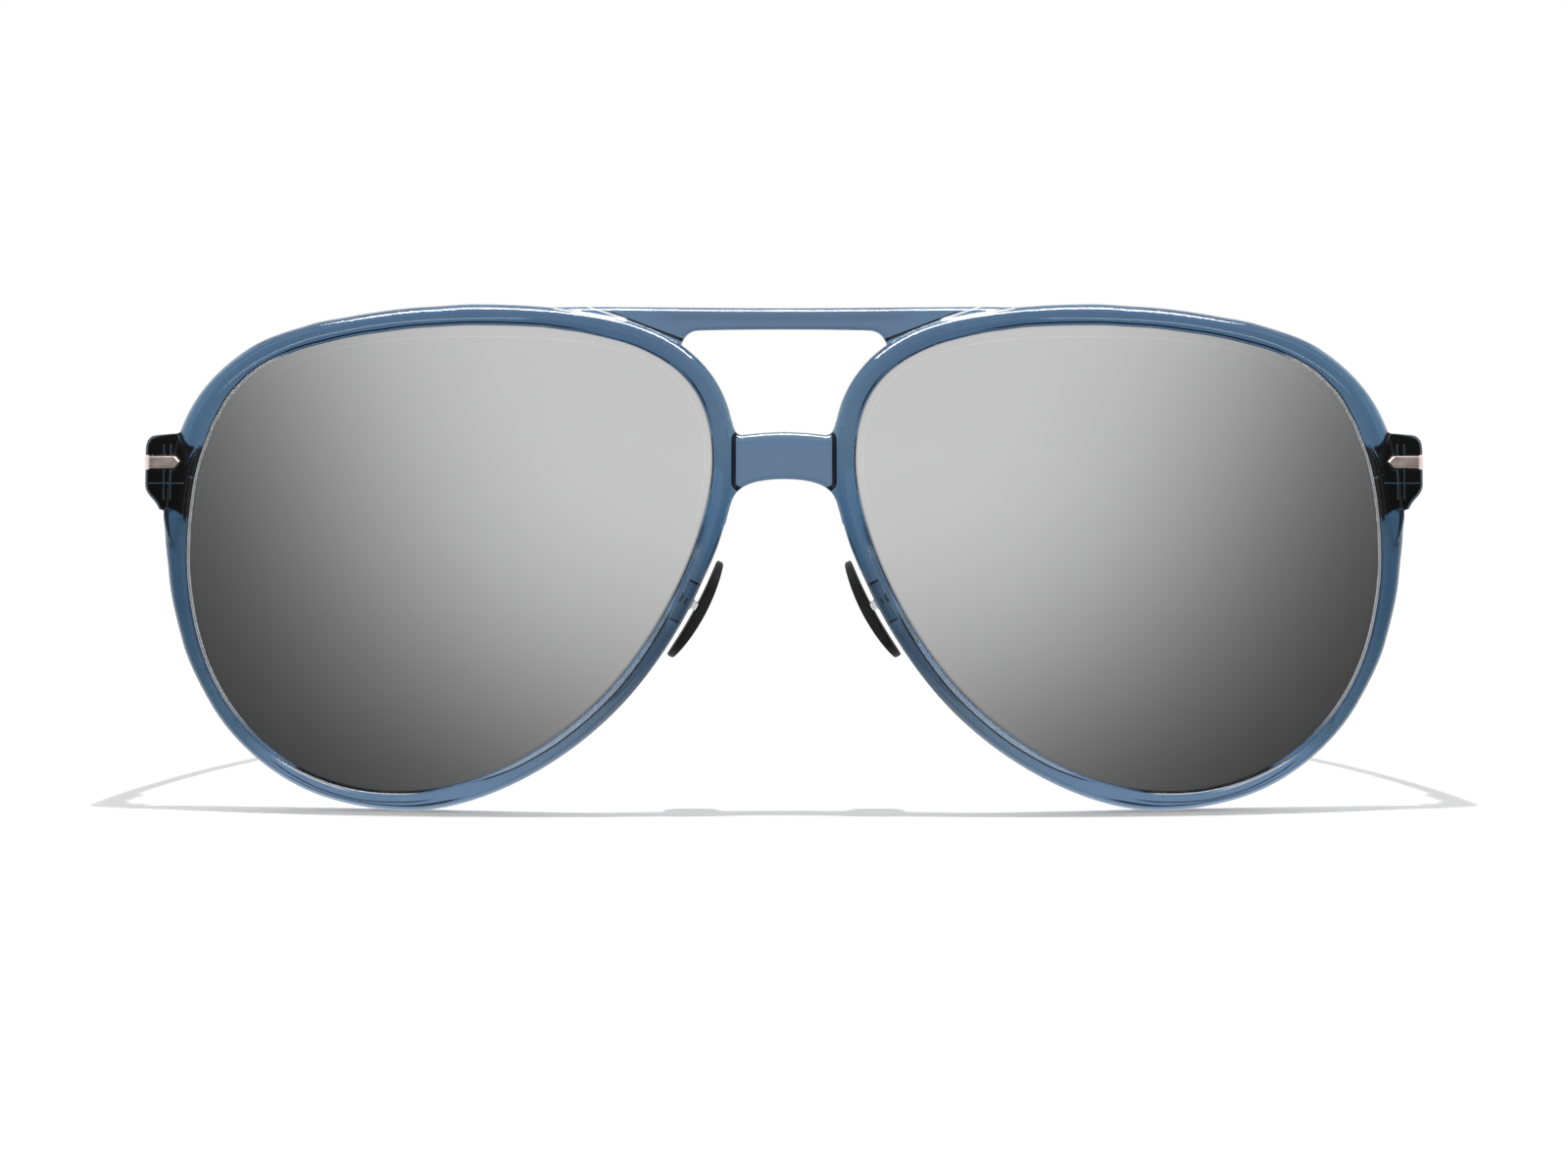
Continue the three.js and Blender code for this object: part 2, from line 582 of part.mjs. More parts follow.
add("frame_front", frameFront(), FINISH.frame);
for (const [suffix, side] of [["right", -1], ["left", 1]]) {
  add(`lens_${suffix}`, lens(), FINISH.lens, side);
  add(`nose_pad_${suffix}`, nosePad(), FINISH.elastomer, side);
  add(`lug_inlay_${suffix}`, inlay(), FINISH.alloy, side);
  add(`hinge_plate_${suffix}`, hingePlate(), FINISH.steel, side);
  add(`plate_screw_lower_${suffix}`, plateScrew(PLATE_SCREW.lowZ), FINISH.steel, side);
  add(`plate_screw_upper_${suffix}`, plateScrew(PLATE_SCREW.highZ), FINISH.steel, side);
  add(`hinge_pin_${suffix}`, hingePin(), FINISH.steel, side);
  add(`temple_arm_${suffix}`, templeArm(), FINISH.alloy, side);
  add(`temple_leaf_${suffix}`, templeLeaf(), FINISH.steel, side);
  add(`leaf_rivet_front_${suffix}`, leafRivet(RIVET.ys[0]), FINISH.steel, side);
  add(`leaf_rivet_rear_${suffix}`, leafRivet(RIVET.ys[1]), FINISH.steel, side);
  add(`temple_sleeve_${suffix}`, templeSleeve(), FINISH.elastomer, side);
}

const footprint = new THREE.Box3().setFromObject(sunglasses);
sunglasses.position.y = -(footprint.min.y + footprint.max.y) / 2;

export default sunglasses;
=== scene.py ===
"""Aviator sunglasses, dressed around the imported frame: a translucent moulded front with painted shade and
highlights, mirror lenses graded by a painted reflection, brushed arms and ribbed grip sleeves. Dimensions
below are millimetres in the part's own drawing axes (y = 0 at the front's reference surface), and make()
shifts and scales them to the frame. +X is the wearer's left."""
import math

import bpy
import numpy as np
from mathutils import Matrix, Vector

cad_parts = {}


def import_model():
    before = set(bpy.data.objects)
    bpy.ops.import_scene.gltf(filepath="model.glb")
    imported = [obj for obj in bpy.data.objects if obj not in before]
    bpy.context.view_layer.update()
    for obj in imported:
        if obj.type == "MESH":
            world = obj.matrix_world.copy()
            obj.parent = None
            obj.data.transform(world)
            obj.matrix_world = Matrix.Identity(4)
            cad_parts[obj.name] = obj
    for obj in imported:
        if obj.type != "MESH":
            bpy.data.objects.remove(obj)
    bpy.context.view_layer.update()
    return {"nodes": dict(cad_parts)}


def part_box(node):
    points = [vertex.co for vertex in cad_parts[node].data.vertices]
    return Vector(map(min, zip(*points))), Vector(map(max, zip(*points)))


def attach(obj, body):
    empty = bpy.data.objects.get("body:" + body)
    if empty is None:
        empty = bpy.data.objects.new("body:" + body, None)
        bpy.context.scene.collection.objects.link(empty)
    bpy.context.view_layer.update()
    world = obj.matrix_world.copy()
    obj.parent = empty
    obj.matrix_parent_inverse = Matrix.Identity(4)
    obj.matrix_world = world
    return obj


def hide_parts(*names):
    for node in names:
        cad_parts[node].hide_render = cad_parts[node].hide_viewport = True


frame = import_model()
MM = 0.001
LUG_BACK, LUG_OUTER = 18.2, 73.35
INLAY_Z, INLAY_HALF, INLAY_TIP = 39.5, 0.7, 68.9
SHIFT_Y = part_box("frame_front")[1][1] / MM - LUG_BACK
SIDES = (("right", -1), ("left", 1))

# ---------- the front's reference surface and outlines ----------
RADIUS, POLE_X, POLE_Z, MID_BLEND = 88.0, 25.0, 30.3, 9.0
LENS_CURVES = [
    [(35, 54.5), (18, 54.5), (7.9, 52.5), (7.9, 39.5)],
    [(7.9, 39.5), (7.9, 31.5), (13, 21.9), (17.3, 16.4)],
    [(17.3, 16.4), (24, 7.7), (34.8, 2), (42.8, 2)],
    [(42.8, 2), (61.8, 2), (68, 15.6), (68, 30.4)],
    [(68, 30.4), (68, 50.4), (55.2, 54.5), (35, 54.5)],
]
# The rim's outer and inner edges, as distances out from the lens's edge, by the share of the way round.
RIM_OUTER = [
    (0, 2.7), (0.08, 2.5), (0.13, 2.4), (0.165, 2.5), (0.24, 2.25), (0.27, 2.08), (0.375, 2.0),
    (0.43, 1.97), (0.49, 2.0), (0.55, 1.9), (0.6, 1.76), (0.64, 1.9), (0.68, 2.25), (0.72, 2.55),
    (0.75, 2.9), (0.82, 3.3), (0.86, 3.08), (0.9, 2.6), (0.925, 2.4), (0.975, 2.55), (1, 2.7),
]
RIM_INNER = [
    (0, 0.52), (0.04, 0.5), (0.06, 0.35), (0.09, 0.15), (0.12, 0.02), (0.18, 0.06), (0.25, -0.1),
    (0.45, -0.12), (0.48, -0.22), (0.53, 0), (0.6, -0.12), (0.67, 0.12), (0.71, 0.1), (0.77, -0.22),
    (0.805, -0.22), (0.82, 0), (0.84, 0.36), (0.86, 0.52), (0.88, 0.46), (0.91, 0.25), (0.94, 0.25),
    (0.97, 0.4), (1, 0.52),
]
TURN_START = 0.78  # where the way round the rim is counted from: behind the lug
RIM_DEPTH, RIM_ROUNDING, RIM_INNER_ROUNDING = 3.5, 0.62, 0.1
OUTER_FALL, INNER_FALL = 0.28, 0.62  # how far the rim's front falls away to its outer and inner edge


def from_pole(x, z):
    """The squared distance from the pole of the half's sphere, the two halves blended at the middle."""
    side = np.abs(x)
    across = np.where(side < MID_BLEND, MID_BLEND / 2 + side**2 / (2 * MID_BLEND), side)
    return (across - POLE_X) ** 2 + (z - POLE_Z) ** 2


def front_depth(x, z):
    """How far back the reference surface is."""
    return RADIUS - np.sqrt(RADIUS**2 - from_pole(x, z))


def slope(x, z):
    """The cosine of the surface's lean, which turns a depth into a distance."""
    return np.sqrt(1 - from_pole(x, z) / RADIUS**2)


def bezier(points, count):
    """Points of a straight line, or of a curve with one or two handles, without its end."""
    p = np.array(points, float)
    t = np.linspace(0, 1, count, endpoint=False)[:, None]
    top = len(p) - 1
    return sum(math.comb(top, k) * t**k * (1 - t) ** (top - k) * p[k] for k in range(top + 1))


def path(pieces, count):
    return np.concatenate([bezier(p, count) for p in pieces])


def spaced(line, count, whole=True):
    """Points at even spacing along a line, with or without its end, and how far along they are."""
    run = np.concatenate([[0], np.cumsum(np.hypot(*np.diff(line, axis=0).T))])
    at = np.linspace(0, run[-1], count, endpoint=whole)
    return np.column_stack([np.interp(at, run, line[:, i]) for i in range(2)]), at


def evenly(points, count):
    """A closed line's points at even spacing."""
    return spaced(np.vstack([points, points[:1]]), count, whole=False)[0]


def smooth_steps(pairs, at):
    """A smooth value between (place, value) pairs."""
    places, values = np.array(pairs, float).T
    i = np.clip(np.searchsorted(places, at, side="right") - 1, 0, len(places) - 2)
    t = np.clip((at - places[i]) / (places[i + 1] - places[i]), 0, 1)
    return values[i] + (values[i + 1] - values[i]) * t * t * (3 - 2 * t)


LENS_EDGE = evenly(path(LENS_CURVES, 200), 720)


# ---------- fields on a fine grid over half of the front ----------
GRID_STEP, GRID_X0, GRID_Z0, GRID_NX, GRID_NZ = 0.2, -1.0, -2.0, 392, 310
gx = GRID_X0 + GRID_STEP * np.arange(GRID_NX)
gz = GRID_Z0 + GRID_STEP * np.arange(GRID_NZ)
GX, GZ = np.meshgrid(gx, gz, indexing="ij")


def signed_field(outline):
    """Signed distance to a closed line, negative inside, and the share of its nearest point."""
    a = np.asarray(outline, float)
    b = np.roll(a, -1, axis=0)
    ab = b - a
    length2 = (ab**2).sum(1)
    p = np.column_stack([GX.ravel(), GZ.ravel()])
    best = np.full(len(p), 1e9)
    share = np.zeros(len(p))
    inside = np.zeros(len(p), bool)
    for i in range(len(a)):
        ap = p - a[i]
        t = np.clip((ap @ ab[i]) / max(length2[i], 1e-12), 0, 1)
        d = (ap[:, 0] - t * ab[i, 0]) ** 2 + (ap[:, 1] - t * ab[i, 1]) ** 2
        near = d < best
        best[near] = d[near]
        share[near] = (i + t[near]) / len(a)
        if a[i, 1] != b[i, 1]:
            crosses = (a[i, 1] > p[:, 1]) != (b[i, 1] > p[:, 1])
            at = a[i, 0] + (p[:, 1] - a[i, 1]) * ab[i, 0] / ab[i, 1]
            inside ^= crosses & (p[:, 0] < at)
    d = np.sqrt(best) * np.where(inside, -1, 1)
    return d.reshape(GX.shape), share.reshape(GX.shape)


def mirrored(points):
    """A closed outline from its half at x >= 0, given from its top to its bottom."""
    half = np.asarray(points, float)
    return np.vstack([half, (half * [-1, 1])[::-1]])


BROW_HALF = path([
    [(0, 56.85), (10, 56.85), (22, 56.9)], [(22, 56.9), (32, 56.7)], [(32, 56.7), (32, 54)],
    [(32, 54), (20, 52.5), (14, 49.5)], [(14, 49.5), (12.2, 51)],
    [(12.2, 51), (11.4, 52.6), (11.4, 54.1), (9.6, 54.25)], [(9.6, 54.25), (5, 54.4), (0, 54.4)],
], 24)
BRIDGE_HALF = path([
    [(0, 42.85), (2.6, 42.8), (4.6, 42.5)], [(4.6, 42.5), (5.4, 42.4), (5.9, 43.9)],
    [(5.9, 43.9), (11, 43.9)], [(11, 43.9), (11, 32.6)], [(11, 32.6), (6.6, 32.6)],
    [(6.6, 32.6), (6.0, 35.2), (5.3, 36.05)], [(5.3, 36.05), (4.5, 37), (2.8, 37.55), (0, 37.55)],
], 24)
LUG_OUTLINE = path([
    [(69.3, 43.3), (69.7, 43.1)],
    [(69.7, 43.1), (72.4, 42.8), (73.3, 42.6), (73.35, 40.9)], [(73.35, 40.9), (73.35, 37)],
    [(73.35, 37), (73.35, 35.6), (71.9, 35.3), (71.5, 33.9)], [(71.5, 33.9), (70.75, 31.8)],
    [(70.75, 31.8), (69.4, 29.5)], [(69.4, 29.5), (68.9, 32.6)], [(68.9, 32.6), (66, 33.7)],
    [(66, 33.7), (66, 41.8)], [(66, 41.8), (66.4, 41.6)], [(66.4, 41.6), (67.0, 40.3), (67.9, 39.2)],
    [(67.9, 39.2), (68.2, 41.8), (68.9, 42.9), (69.3, 43.3)],
], 24)

LENS_FIELD, LENS_SHARE = signed_field(LENS_EDGE)
OUTER_FIELD = smooth_steps(RIM_OUTER, LENS_SHARE)
INNER_FIELD = smooth_steps(RIM_INNER, LENS_SHARE)
TURN_FIELD = (LENS_SHARE - TURN_START) % 1
BROW_FIELD = signed_field(mirrored(BROW_HALF))[0]
BRIDGE_FIELD = signed_field(mirrored(BRIDGE_HALF))[0]
LUG_FIELD = signed_field(LUG_OUTLINE)[0]


def look_up(field, x, z):
    """The field's value at any place, the same on both halves."""
    i = np.clip((np.abs(x) - GRID_X0) / GRID_STEP, 0, GRID_NX - 1.001)
    k = np.clip((z - GRID_Z0) / GRID_STEP, 0, GRID_NZ - 1.001)
    i0, k0 = i.astype(int), k.astype(int)
    out, up = i - i0, k - k0
    return ((field[i0, k0] * (1 - out) + field[i0 + 1, k0] * out) * (1 - up)
            + (field[i0, k0 + 1] * (1 - out) + field[i0 + 1, k0 + 1] * out) * up)


# ---------- solids as distance fields ----------
def both(radius, *sides):
    """What is inside every side, with its edges rounded."""
    far = [s + radius for s in sides]
    out = np.sqrt(sum(np.maximum(s, 0) ** 2 for s in far))
    return out + np.minimum(np.maximum.reduce(far), 0) - radius


def either(a, b, fillet):
    """What is inside one or the other, with a fillet between them."""
    h = np.maximum(fillet - np.abs(a - b), 0) / fillet
    return np.minimum(a, b) - h * h * fillet / 4


PAD_MIDDLE, PAD_OFFSET, PAD_SPLAY = np.array([10.2, 8.6, 22.95]), -0.34, math.radians(1.5)
PAD_SLANT = (0.473, 0, -0.881)  # the way the pad runs down along the rim
PAD_HALF_LENGTH, PAD_HALF_WIDTH, PAD_ROUNDING = 5.95, 3.25, 0.25
PAD_THICKNESS, PAD_CROWN, PAD_BOW, PAD_LIFT, PAD_END = 0.88, 0.42, 0.36, 0.08, 3.1
PAD_ROOM = PAD_MIDDLE - 7.6, PAD_MIDDLE + 7.6  # the box that a pad is drawn in


def pad_axes():
    run = np.array(PAD_SLANT)
    run /= np.linalg.norm(run)
    nose = np.array([run[2], 0, -run[0]])
    back = np.array([0.0, 1, 0])
    c, s = math.cos(PAD_SPLAY), math.sin(PAD_SPLAY)

    def turned(v):
        return v * c + np.cross(run, v) * s + run * (run @ v) * (1 - c)
    return run, turned(nose), turned(back)


PAD_RUN, PAD_NOSE, PAD_BACK = pad_axes()


def in_pad(x, y, z):
    """Places in the pad's axes: down along the rim, towards the nose, back."""
    p = [a - b for a, b in zip((np.abs(x), y, z), PAD_MIDDLE)]
    return [sum(c * a for c, a in zip(p, axis)) for axis in (PAD_RUN, PAD_NOSE, PAD_BACK)]


# Places and sizes of the front's parts, with depths below the reference surface.
BAR_ROUNDING, BAR_BACK, BROW_FACE, BRIDGE_FACE, BAR_INSIDE = 0.6, 3.3, 0.5, 0.45, 1.2
LUG_ROUNDING, LUG_FACE, LUG_INSIDE, LUG_FILLET = 0.45, 0.1, 0.6, 0.5
LUG_Z, LUG_TALL_HALF, LUG_STEP, LUG_STEP_RUN = 38.4, 3.9, 4.8, 0.5
BRIDGE_FILLET, POST_FILLET = 0.35, 0.3
POST_MIDDLE, POST_HALVES, POST_ROUNDING = (-0.45, PAD_OFFSET - 0.32, -2.0), (0.5, 0.83, 2.2), 0.25
INLAY_CLEARANCE, INLAY_SEAT_DEPTH, INLAY_SEAT_ROUNDING, INLAY_TIP_SLOPE = 0.1, 0.5, 0.08, 0.9
PLATE_X, PLATE_HALF, PLATE_Z, PLATE_TALL_HALF, PLATE_SEAT = 70.15, 2.5, 38.55, 3.25, 1.0


def bar(outline, face, lens, x, z, d, lean):
    """A bar between the rims, from its face to its back and clear of the lenses."""
    solid = both(BAR_ROUNDING, look_up(outline, x, z), (face - d) * lean, (d - BAR_BACK) * lean)
    return np.maximum(solid, BAR_INSIDE - lens)


def lug_solid(lens, x, y, z, d, lean):
    """The lug, stepped forward above and below the hinge."""
    step = LUG_STEP * np.clip((np.abs(z - LUG_Z) - LUG_TALL_HALF) / LUG_STEP_RUN, 0, 1)
    solid = both(LUG_ROUNDING, look_up(LUG_FIELD, x, z), (LUG_FACE - d) * lean, y - LUG_BACK + step)
    return np.maximum(solid, LUG_INSIDE - lens)


def front_field(x, y, z):
    """The whole moulding: rims, brow bar, bridge, lugs and pad posts, with the seats of the metal."""
    lens = look_up(LENS_FIELD, x, z)
    outer, inner = look_up(OUTER_FIELD, x, z), look_up(INNER_FIELD, x, z)
    lean = slope(x, z)
    d = y - front_depth(x, z)
    middle, half = lens - (outer + inner) / 2, (outer - inner) / 2
    share = middle / half
    fall = OUTER_FALL * np.clip(share, 0, 1) ** 2 + INNER_FALL * np.clip(-share, 0, 1) ** 2
    rim = both(RIM_ROUNDING, middle - half, (fall - d) * lean, (d - RIM_DEPTH) * lean)
    rim = both(RIM_INNER_ROUNDING, rim, -half - middle)
    body = either(rim, lug_solid(lens, x, y, z, d, lean), LUG_FILLET)
    body = np.minimum(body, bar(BROW_FIELD, BROW_FACE, lens, x, z, d, lean))
    body = either(body, bar(BRIDGE_FIELD, BRIDGE_FACE, lens, x, z, d, lean), BRIDGE_FILLET)
    post = [np.abs(a - middle) - half for a, middle, half in zip(in_pad(x, y, z), POST_MIDDLE, POST_HALVES)]
    body = either(body, both(POST_ROUNDING, *post), POST_FILLET)
    tip = INLAY_TIP - INLAY_CLEARANCE + np.abs(z - INLAY_Z) * INLAY_TIP_SLOPE - np.abs(x)
    seat = np.maximum.reduce([
        np.abs(z - INLAY_Z) - INLAY_HALF - INLAY_CLEARANCE, tip,
        np.minimum((d - INLAY_SEAT_DEPTH) * lean, LUG_OUTER - INLAY_SEAT_DEPTH - np.abs(x))])
    body = both(INLAY_SEAT_ROUNDING, body, -seat)
    plate = np.maximum.reduce([
        np.abs(np.abs(x) - PLATE_X) - PLATE_HALF, np.abs(z - PLATE_Z) - PLATE_TALL_HALF,
        LUG_BACK - PLATE_SEAT - y])
    body = np.maximum(body, -plate)
    return np.maximum(body, -z)


# ---------- meshing ----------
BLOCK = 8


def sampled(field, low, counts, step):
    """The field on a grid, worked out in full only in the blocks that its surface may cross."""
    blocks = [-(-c // BLOCK) for c in counts]
    middles = [a + step * (BLOCK * np.arange(n) + (BLOCK - 1) / 2) for a, n in zip(low, blocks)]
    coarse = field(*np.meshgrid(*middles, indexing="ij"))
    reach = 1.5 * math.sqrt(3) / 2 * BLOCK * step
    values = coarse.astype(np.float32)
    for axis in range(3):
        values = np.repeat(values, BLOCK, axis)
    inner = np.indices((BLOCK,) * 3)[:, None]
    active = np.argwhere(np.abs(coarse) < reach)
    for part in np.array_split(active, max(1, len(active) // 2000)):
        i, j, k = (part * BLOCK).T[:, :, None, None, None] + inner
        values[i, j, k] = field(low[0] + step * i, low[1] + step * j, low[2] + step * k)
    return values[:counts[0], :counts[1], :counts[2]]


FINE_REACH, NORMAL_REACH = 0.02, 0.12


def gradient(field, points, reach):
    """Which way the field rises, and how fast."""
    x, y, z = points.T
    return np.column_stack([
        field(x + reach, y, z) - field(x - reach, y, z),
        field(x, y + reach, z) - field(x, y - reach, z),
        field(x, y, z + reach) - field(x, y, z - reach)]) / (2 * reach)


def surface(field, low, high, step):
    """A quad mesh of the zero surface of a field, drawn onto it exactly, and its normals."""
    shape = tuple(int(round((b - a) / step)) + 1 for a, b in zip(low, high))
    values = sampled(field, low, shape, step)
    inside = values < 0
    corners = [(a, b, c) for a in (0, 1) for b in (0, 1) for c in (0, 1)]
    n = [s - 1 for s in shape]
    count = sum(inside[a:a + n[0], b:b + n[1], c:c + n[2]].astype(np.int8) for a, b, c in corners)
    cells = np.argwhere((count > 0) & (count < 8))
    ids = np.full(n, -1, np.int64)
    ids[tuple(cells.T)] = np.arange(len(cells))
    total = np.zeros((len(cells), 3))
    hits = np.zeros(len(cells))
    for a in corners:
        for axis in range(3):
            if a[axis]:
                continue
            b = tuple(v + (k == axis) for k, v in enumerate(a))
            va = values[tuple((cells + a).T)].astype(float)
            vb = values[tuple((cells + b).T)].astype(float)
            crossing = (va < 0) != (vb < 0)
            t = np.where(crossing, va / np.where(crossing, va - vb, 1), 0)
            spot = np.array(a, float) + t[:, None] * (np.array(b) - np.array(a))
            total += spot * crossing[:, None]
            hits += crossing
    points = np.array(low) + (cells + total / hits[:, None]) * step
    quads = []
    for axis in range(3):
        u, v = (axis + 1) % 3, (axis + 2) % 3
        first = inside[tuple(slice(0, s - (k == axis)) for k, s in enumerate(shape))]
        second = inside[tuple(slice(1 if k == axis else 0, s) for k, s in enumerate(shape))]
        du, dv = np.eye(3, dtype=int)[u], np.eye(3, dtype=int)[v]
        for flip in (False, True):
            edge = np.argwhere(~first & second if flip else first & ~second)
            bound = [(edge[:, k] > 0) & (edge[:, k] < shape[k] - 1) for k in (u, v)]
            edge = edge[bound[0] & bound[1]]
            around = [edge - du - dv, edge - dv, edge, edge - du]
            quad = np.column_stack([ids[tuple(c.T)] for c in around])
            quads.append(quad[:, ::-1] if flip else quad)
    quads = np.vstack(quads)
    for _ in range(4):
        g = gradient(field, points, FINE_REACH)
        move = -(field(*points.T) / np.maximum((g**2).sum(1), 0.2))[:, None] * g
        far = np.linalg.norm(move, axis=1, keepdims=True)
        points = points + move * np.minimum(1, 0.4 * step / np.maximum(far, 1e-9))
    return points, quads, gradient(field, points, NORMAL_REACH)


def placed(name, data):
    obj = bpy.data.objects.new(name, data)
    bpy.context.scene.collection.objects.link(obj)
    return obj


def make(name, points, faces, normals=None):
    """A mesh object from points in the drawing's millimetres."""
    p = np.asarray(points, float).copy()
    p[:, 1] += SHIFT_Y
    mesh = bpy.data.meshes.new(name)
    mesh.from_pydata((p * MM).tolist(), [], [list(map(int, f)) for f in faces])
    mesh.validate()
    mesh.polygons.foreach_set("use_smooth", [True] * len(mesh.polygons))
    if normals is not None:
        size = np.maximum(np.linalg.norm(normals, axis=1, keepdims=True), 1e-9)
        mesh.normals_split_custom_set_from_vertices((normals / size).tolist())
    return placed(name, mesh)


def places(obj, name, *values):
    """Three numbers per vertex, kept on the mesh for its material."""
    layer = obj.data.attributes.new(name, "FLOAT_VECTOR", "POINT")
    layer.data.foreach_set("vector", np.column_stack(values).astype(np.float32).ravel())


# ---------- materials ----------
class Tree:
    """A node tree, built a node at a time."""

    def __init__(self, owner):
        owner.use_nodes = True
        self.tree = owner.node_tree
        self.tree.nodes.clear()

    def put(self, socket, value):
        """Another node's output, or a constant on the socket itself."""
        if isinstance(value, bpy.types.NodeSocket):
            self.tree.links.new(value, socket)
        else:
            socket.default_value = value

    def add(self, kind, inputs=(), **settings):
        node = self.tree.nodes.new(kind)
        for key, value in settings.items():
            setattr(node, key, value)
        for key, value in dict(inputs).items():
            self.put(node.inputs[key], value)
        return node

    def place(self, scale=1000.0):
        """Object coordinates, in millimetres unless scaled otherwise."""
        coordinate = self.add("ShaderNodeTexCoord")
        return self.add("ShaderNodeVectorMath", {0: coordinate.outputs["Object"], 1: (scale,) * 3},
                        operation="MULTIPLY").outputs[0]

    def noise(self, vector, scale, detail=3.0):
        inputs = {"Vector": vector, "Scale": scale, "Detail": detail}
        return self.add("ShaderNodeTexNoise", inputs).outputs["Fac"]

    def ramp(self, value, stops):
        node = self.add("ShaderNodeValToRGB", {"Fac": value})
        elements = node.color_ramp.elements
        while len(elements) < len(stops):
            elements.new(0.5)
        for element, (at, colour) in zip(elements, stops):
            element.position = at
            element.color = (*colour, 1)
        return node.outputs["Color"]

    def map(self, value, low, high, to_low, to_high):
        inputs = {0: value, 1: low, 2: high, 3: to_low, 4: to_high}
        return self.add("ShaderNodeMapRange", inputs).outputs[0]

    def above(self, value, low, high):
        """One beyond high, none below low."""
        return self.map(value, low, high, 0.0, 1.0)

    def below(self, value, low, high):
        """One below low, none beyond high."""
        return self.map(value, low, high, 1.0, 0.0)

    def spread(self, noise, low, high):
        """Low to high over the middle of a noise's range."""
        return self.map(noise, 0.3, 0.7, low, high)

    def calc(self, operation, a, b=0.0, c=0.0):
        return self.add("ShaderNodeMath", {0: a, 1: b, 2: c}, operation=operation).outputs[0]

    def less(self, a, b):
        return self.calc("SUBTRACT", a, b)

    def powers(self, total, terms, a, b):
        """The total plus each term's factor times its powers of a and b."""
        for factor, times_a, times_b in terms:
            term = factor
            for _ in range(times_a):
                term = self.calc("MULTIPLY", a, term)
            for _ in range(times_b):
                term = self.calc("MULTIPLY", b, term)
            total = self.calc("ADD", term, total)
        return total

    def split(self, name):
        """The three numbers kept on the mesh under a name."""
        vector = self.add("ShaderNodeAttribute", attribute_name=name).outputs["Vector"]
        return self.add("ShaderNodeSeparateXYZ", {0: vector}).outputs

    def line(self, value, at, half, soft=0.06):
        """One where the value is within half of a place, falling to zero just beyond."""
        off = self.calc("ABSOLUTE", self.less(value, at))
        return self.below(off, half, half + soft)

    def curve(self, value, pairs, top=4.0):
        """A value given by straight lines between (place, value) pairs, none above the top."""
        grey = self.ramp(value, [(at, (level / top,) * 3) for at, level in pairs])
        return self.calc("MULTIPLY", grey, top)

    def within(self, value, low, high, soft):
        return self.all(self.above(value, low, low + soft), self.below(value, high - soft, high))

    def ruled(self, along, up, start, end, half, soft=0.06):
        """A straight line between two (along, up) places, thinning towards its end."""
        rise = (end[1] - start[1]) / (end[0] - start[0])
        run = self.less(along, start[0])
        off = self.calc("MULTIPLY_ADD", run, -rise, self.less(up, start[1]))
        thin = self.map(along, start[0], end[0], half, half / 3)
        near = self.below(self.less(self.calc("ABSOLUTE", off), thin), 0.0, soft)
        return self.all(near, self.within(along, start[0], end[0], 0.3))

    def all(self, *masks):
        out = masks[0]
        for mask in masks[1:]:
            out = self.calc("MULTIPLY", out, mask)
        return out

    def any(self, *masks):
        out = masks[0]
        for mask in masks[1:]:
            out = self.calc("MAXIMUM", out, mask)
        return out

    def mix(self, factor, a, b):
        return self.add("ShaderNodeMix", {0: factor, 6: a, 7: b}, data_type="RGBA").outputs[2]


class Nodes(Tree):
    """A material's node tree around one shader."""

    def __init__(self, name):
        self.material = bpy.data.materials.new(name)
        super().__init__(self.material)
        self.shader = self.add("ShaderNodeBsdfPrincipled")
        self.output = self.add("ShaderNodeOutputMaterial", {"Surface": self.shader.outputs[0]})

    def set(self, **values):
        for key, value in values.items():
            self.put(self.shader.inputs[key.replace("_", " ")], value)

    def bump(self, height, strength, distance):
        inputs = {"Height": height, "Strength": strength, "Distance": distance}
        self.set(Normal=self.add("ShaderNodeBump", inputs).outputs[0])


# ---------- the clear front's material ----------
# The rim's tint by turn, painted shade that makes the rim darker or lighter round its way, with nothing
# taken away where the rim is clearest.
RIM_SHADE_TINT = [
    (0, (0.428, 0.551, 0.607)), (0.04, (0.512, 0.651, 0.691)), (0.12, (0.56, 0.674, 0.743)),
    (0.22, (0.537, 0.662, 0.743)), (0.33, (0.522, 0.639, 0.714)), (0.4, (0.663, 0.756, 0.755)),
    (0.45, (0.376, 0.563, 0.655)), (0.485, (0.353, 0.436, 0.471)), (0.54, (0.381, 0.423, 0.435)),
    (0.57, (0.596, 0.551, 0.508)), (0.62, (0.824, 0.792, 0.732)), (0.68, (1, 1, 1)), (0.8, (1, 1, 1)),
    (0.83, (0.488, 0.58, 0.594)), (0.87, (0.357, 0.444, 0.456)), (0.92, (0.225, 0.333, 0.381)),
    (0.97, (0.248, 0.355, 0.405)), (1, (0.299, 0.417, 0.471)),
]
# The bars' tints away from their upper edge, and along it with painted shade.
BRIDGE_TINT_AND_SHADE = (0.58, 0.66, 0.705, 1), (0.54, 0.645, 0.735, 1)
BROW_TINT_AND_SHADE = (0.545, 0.615, 0.68, 1), (0.455, 0.535, 0.605, 1)
BRIDGE_TOP, BROW_TOP, BARS_APART = 41.6, 55.6, (44.0, 50.0)
ABSORBED_COLOUR, ABSORBED_DENSITY = (0.341, 0.507, 0.656, 1), 900.0
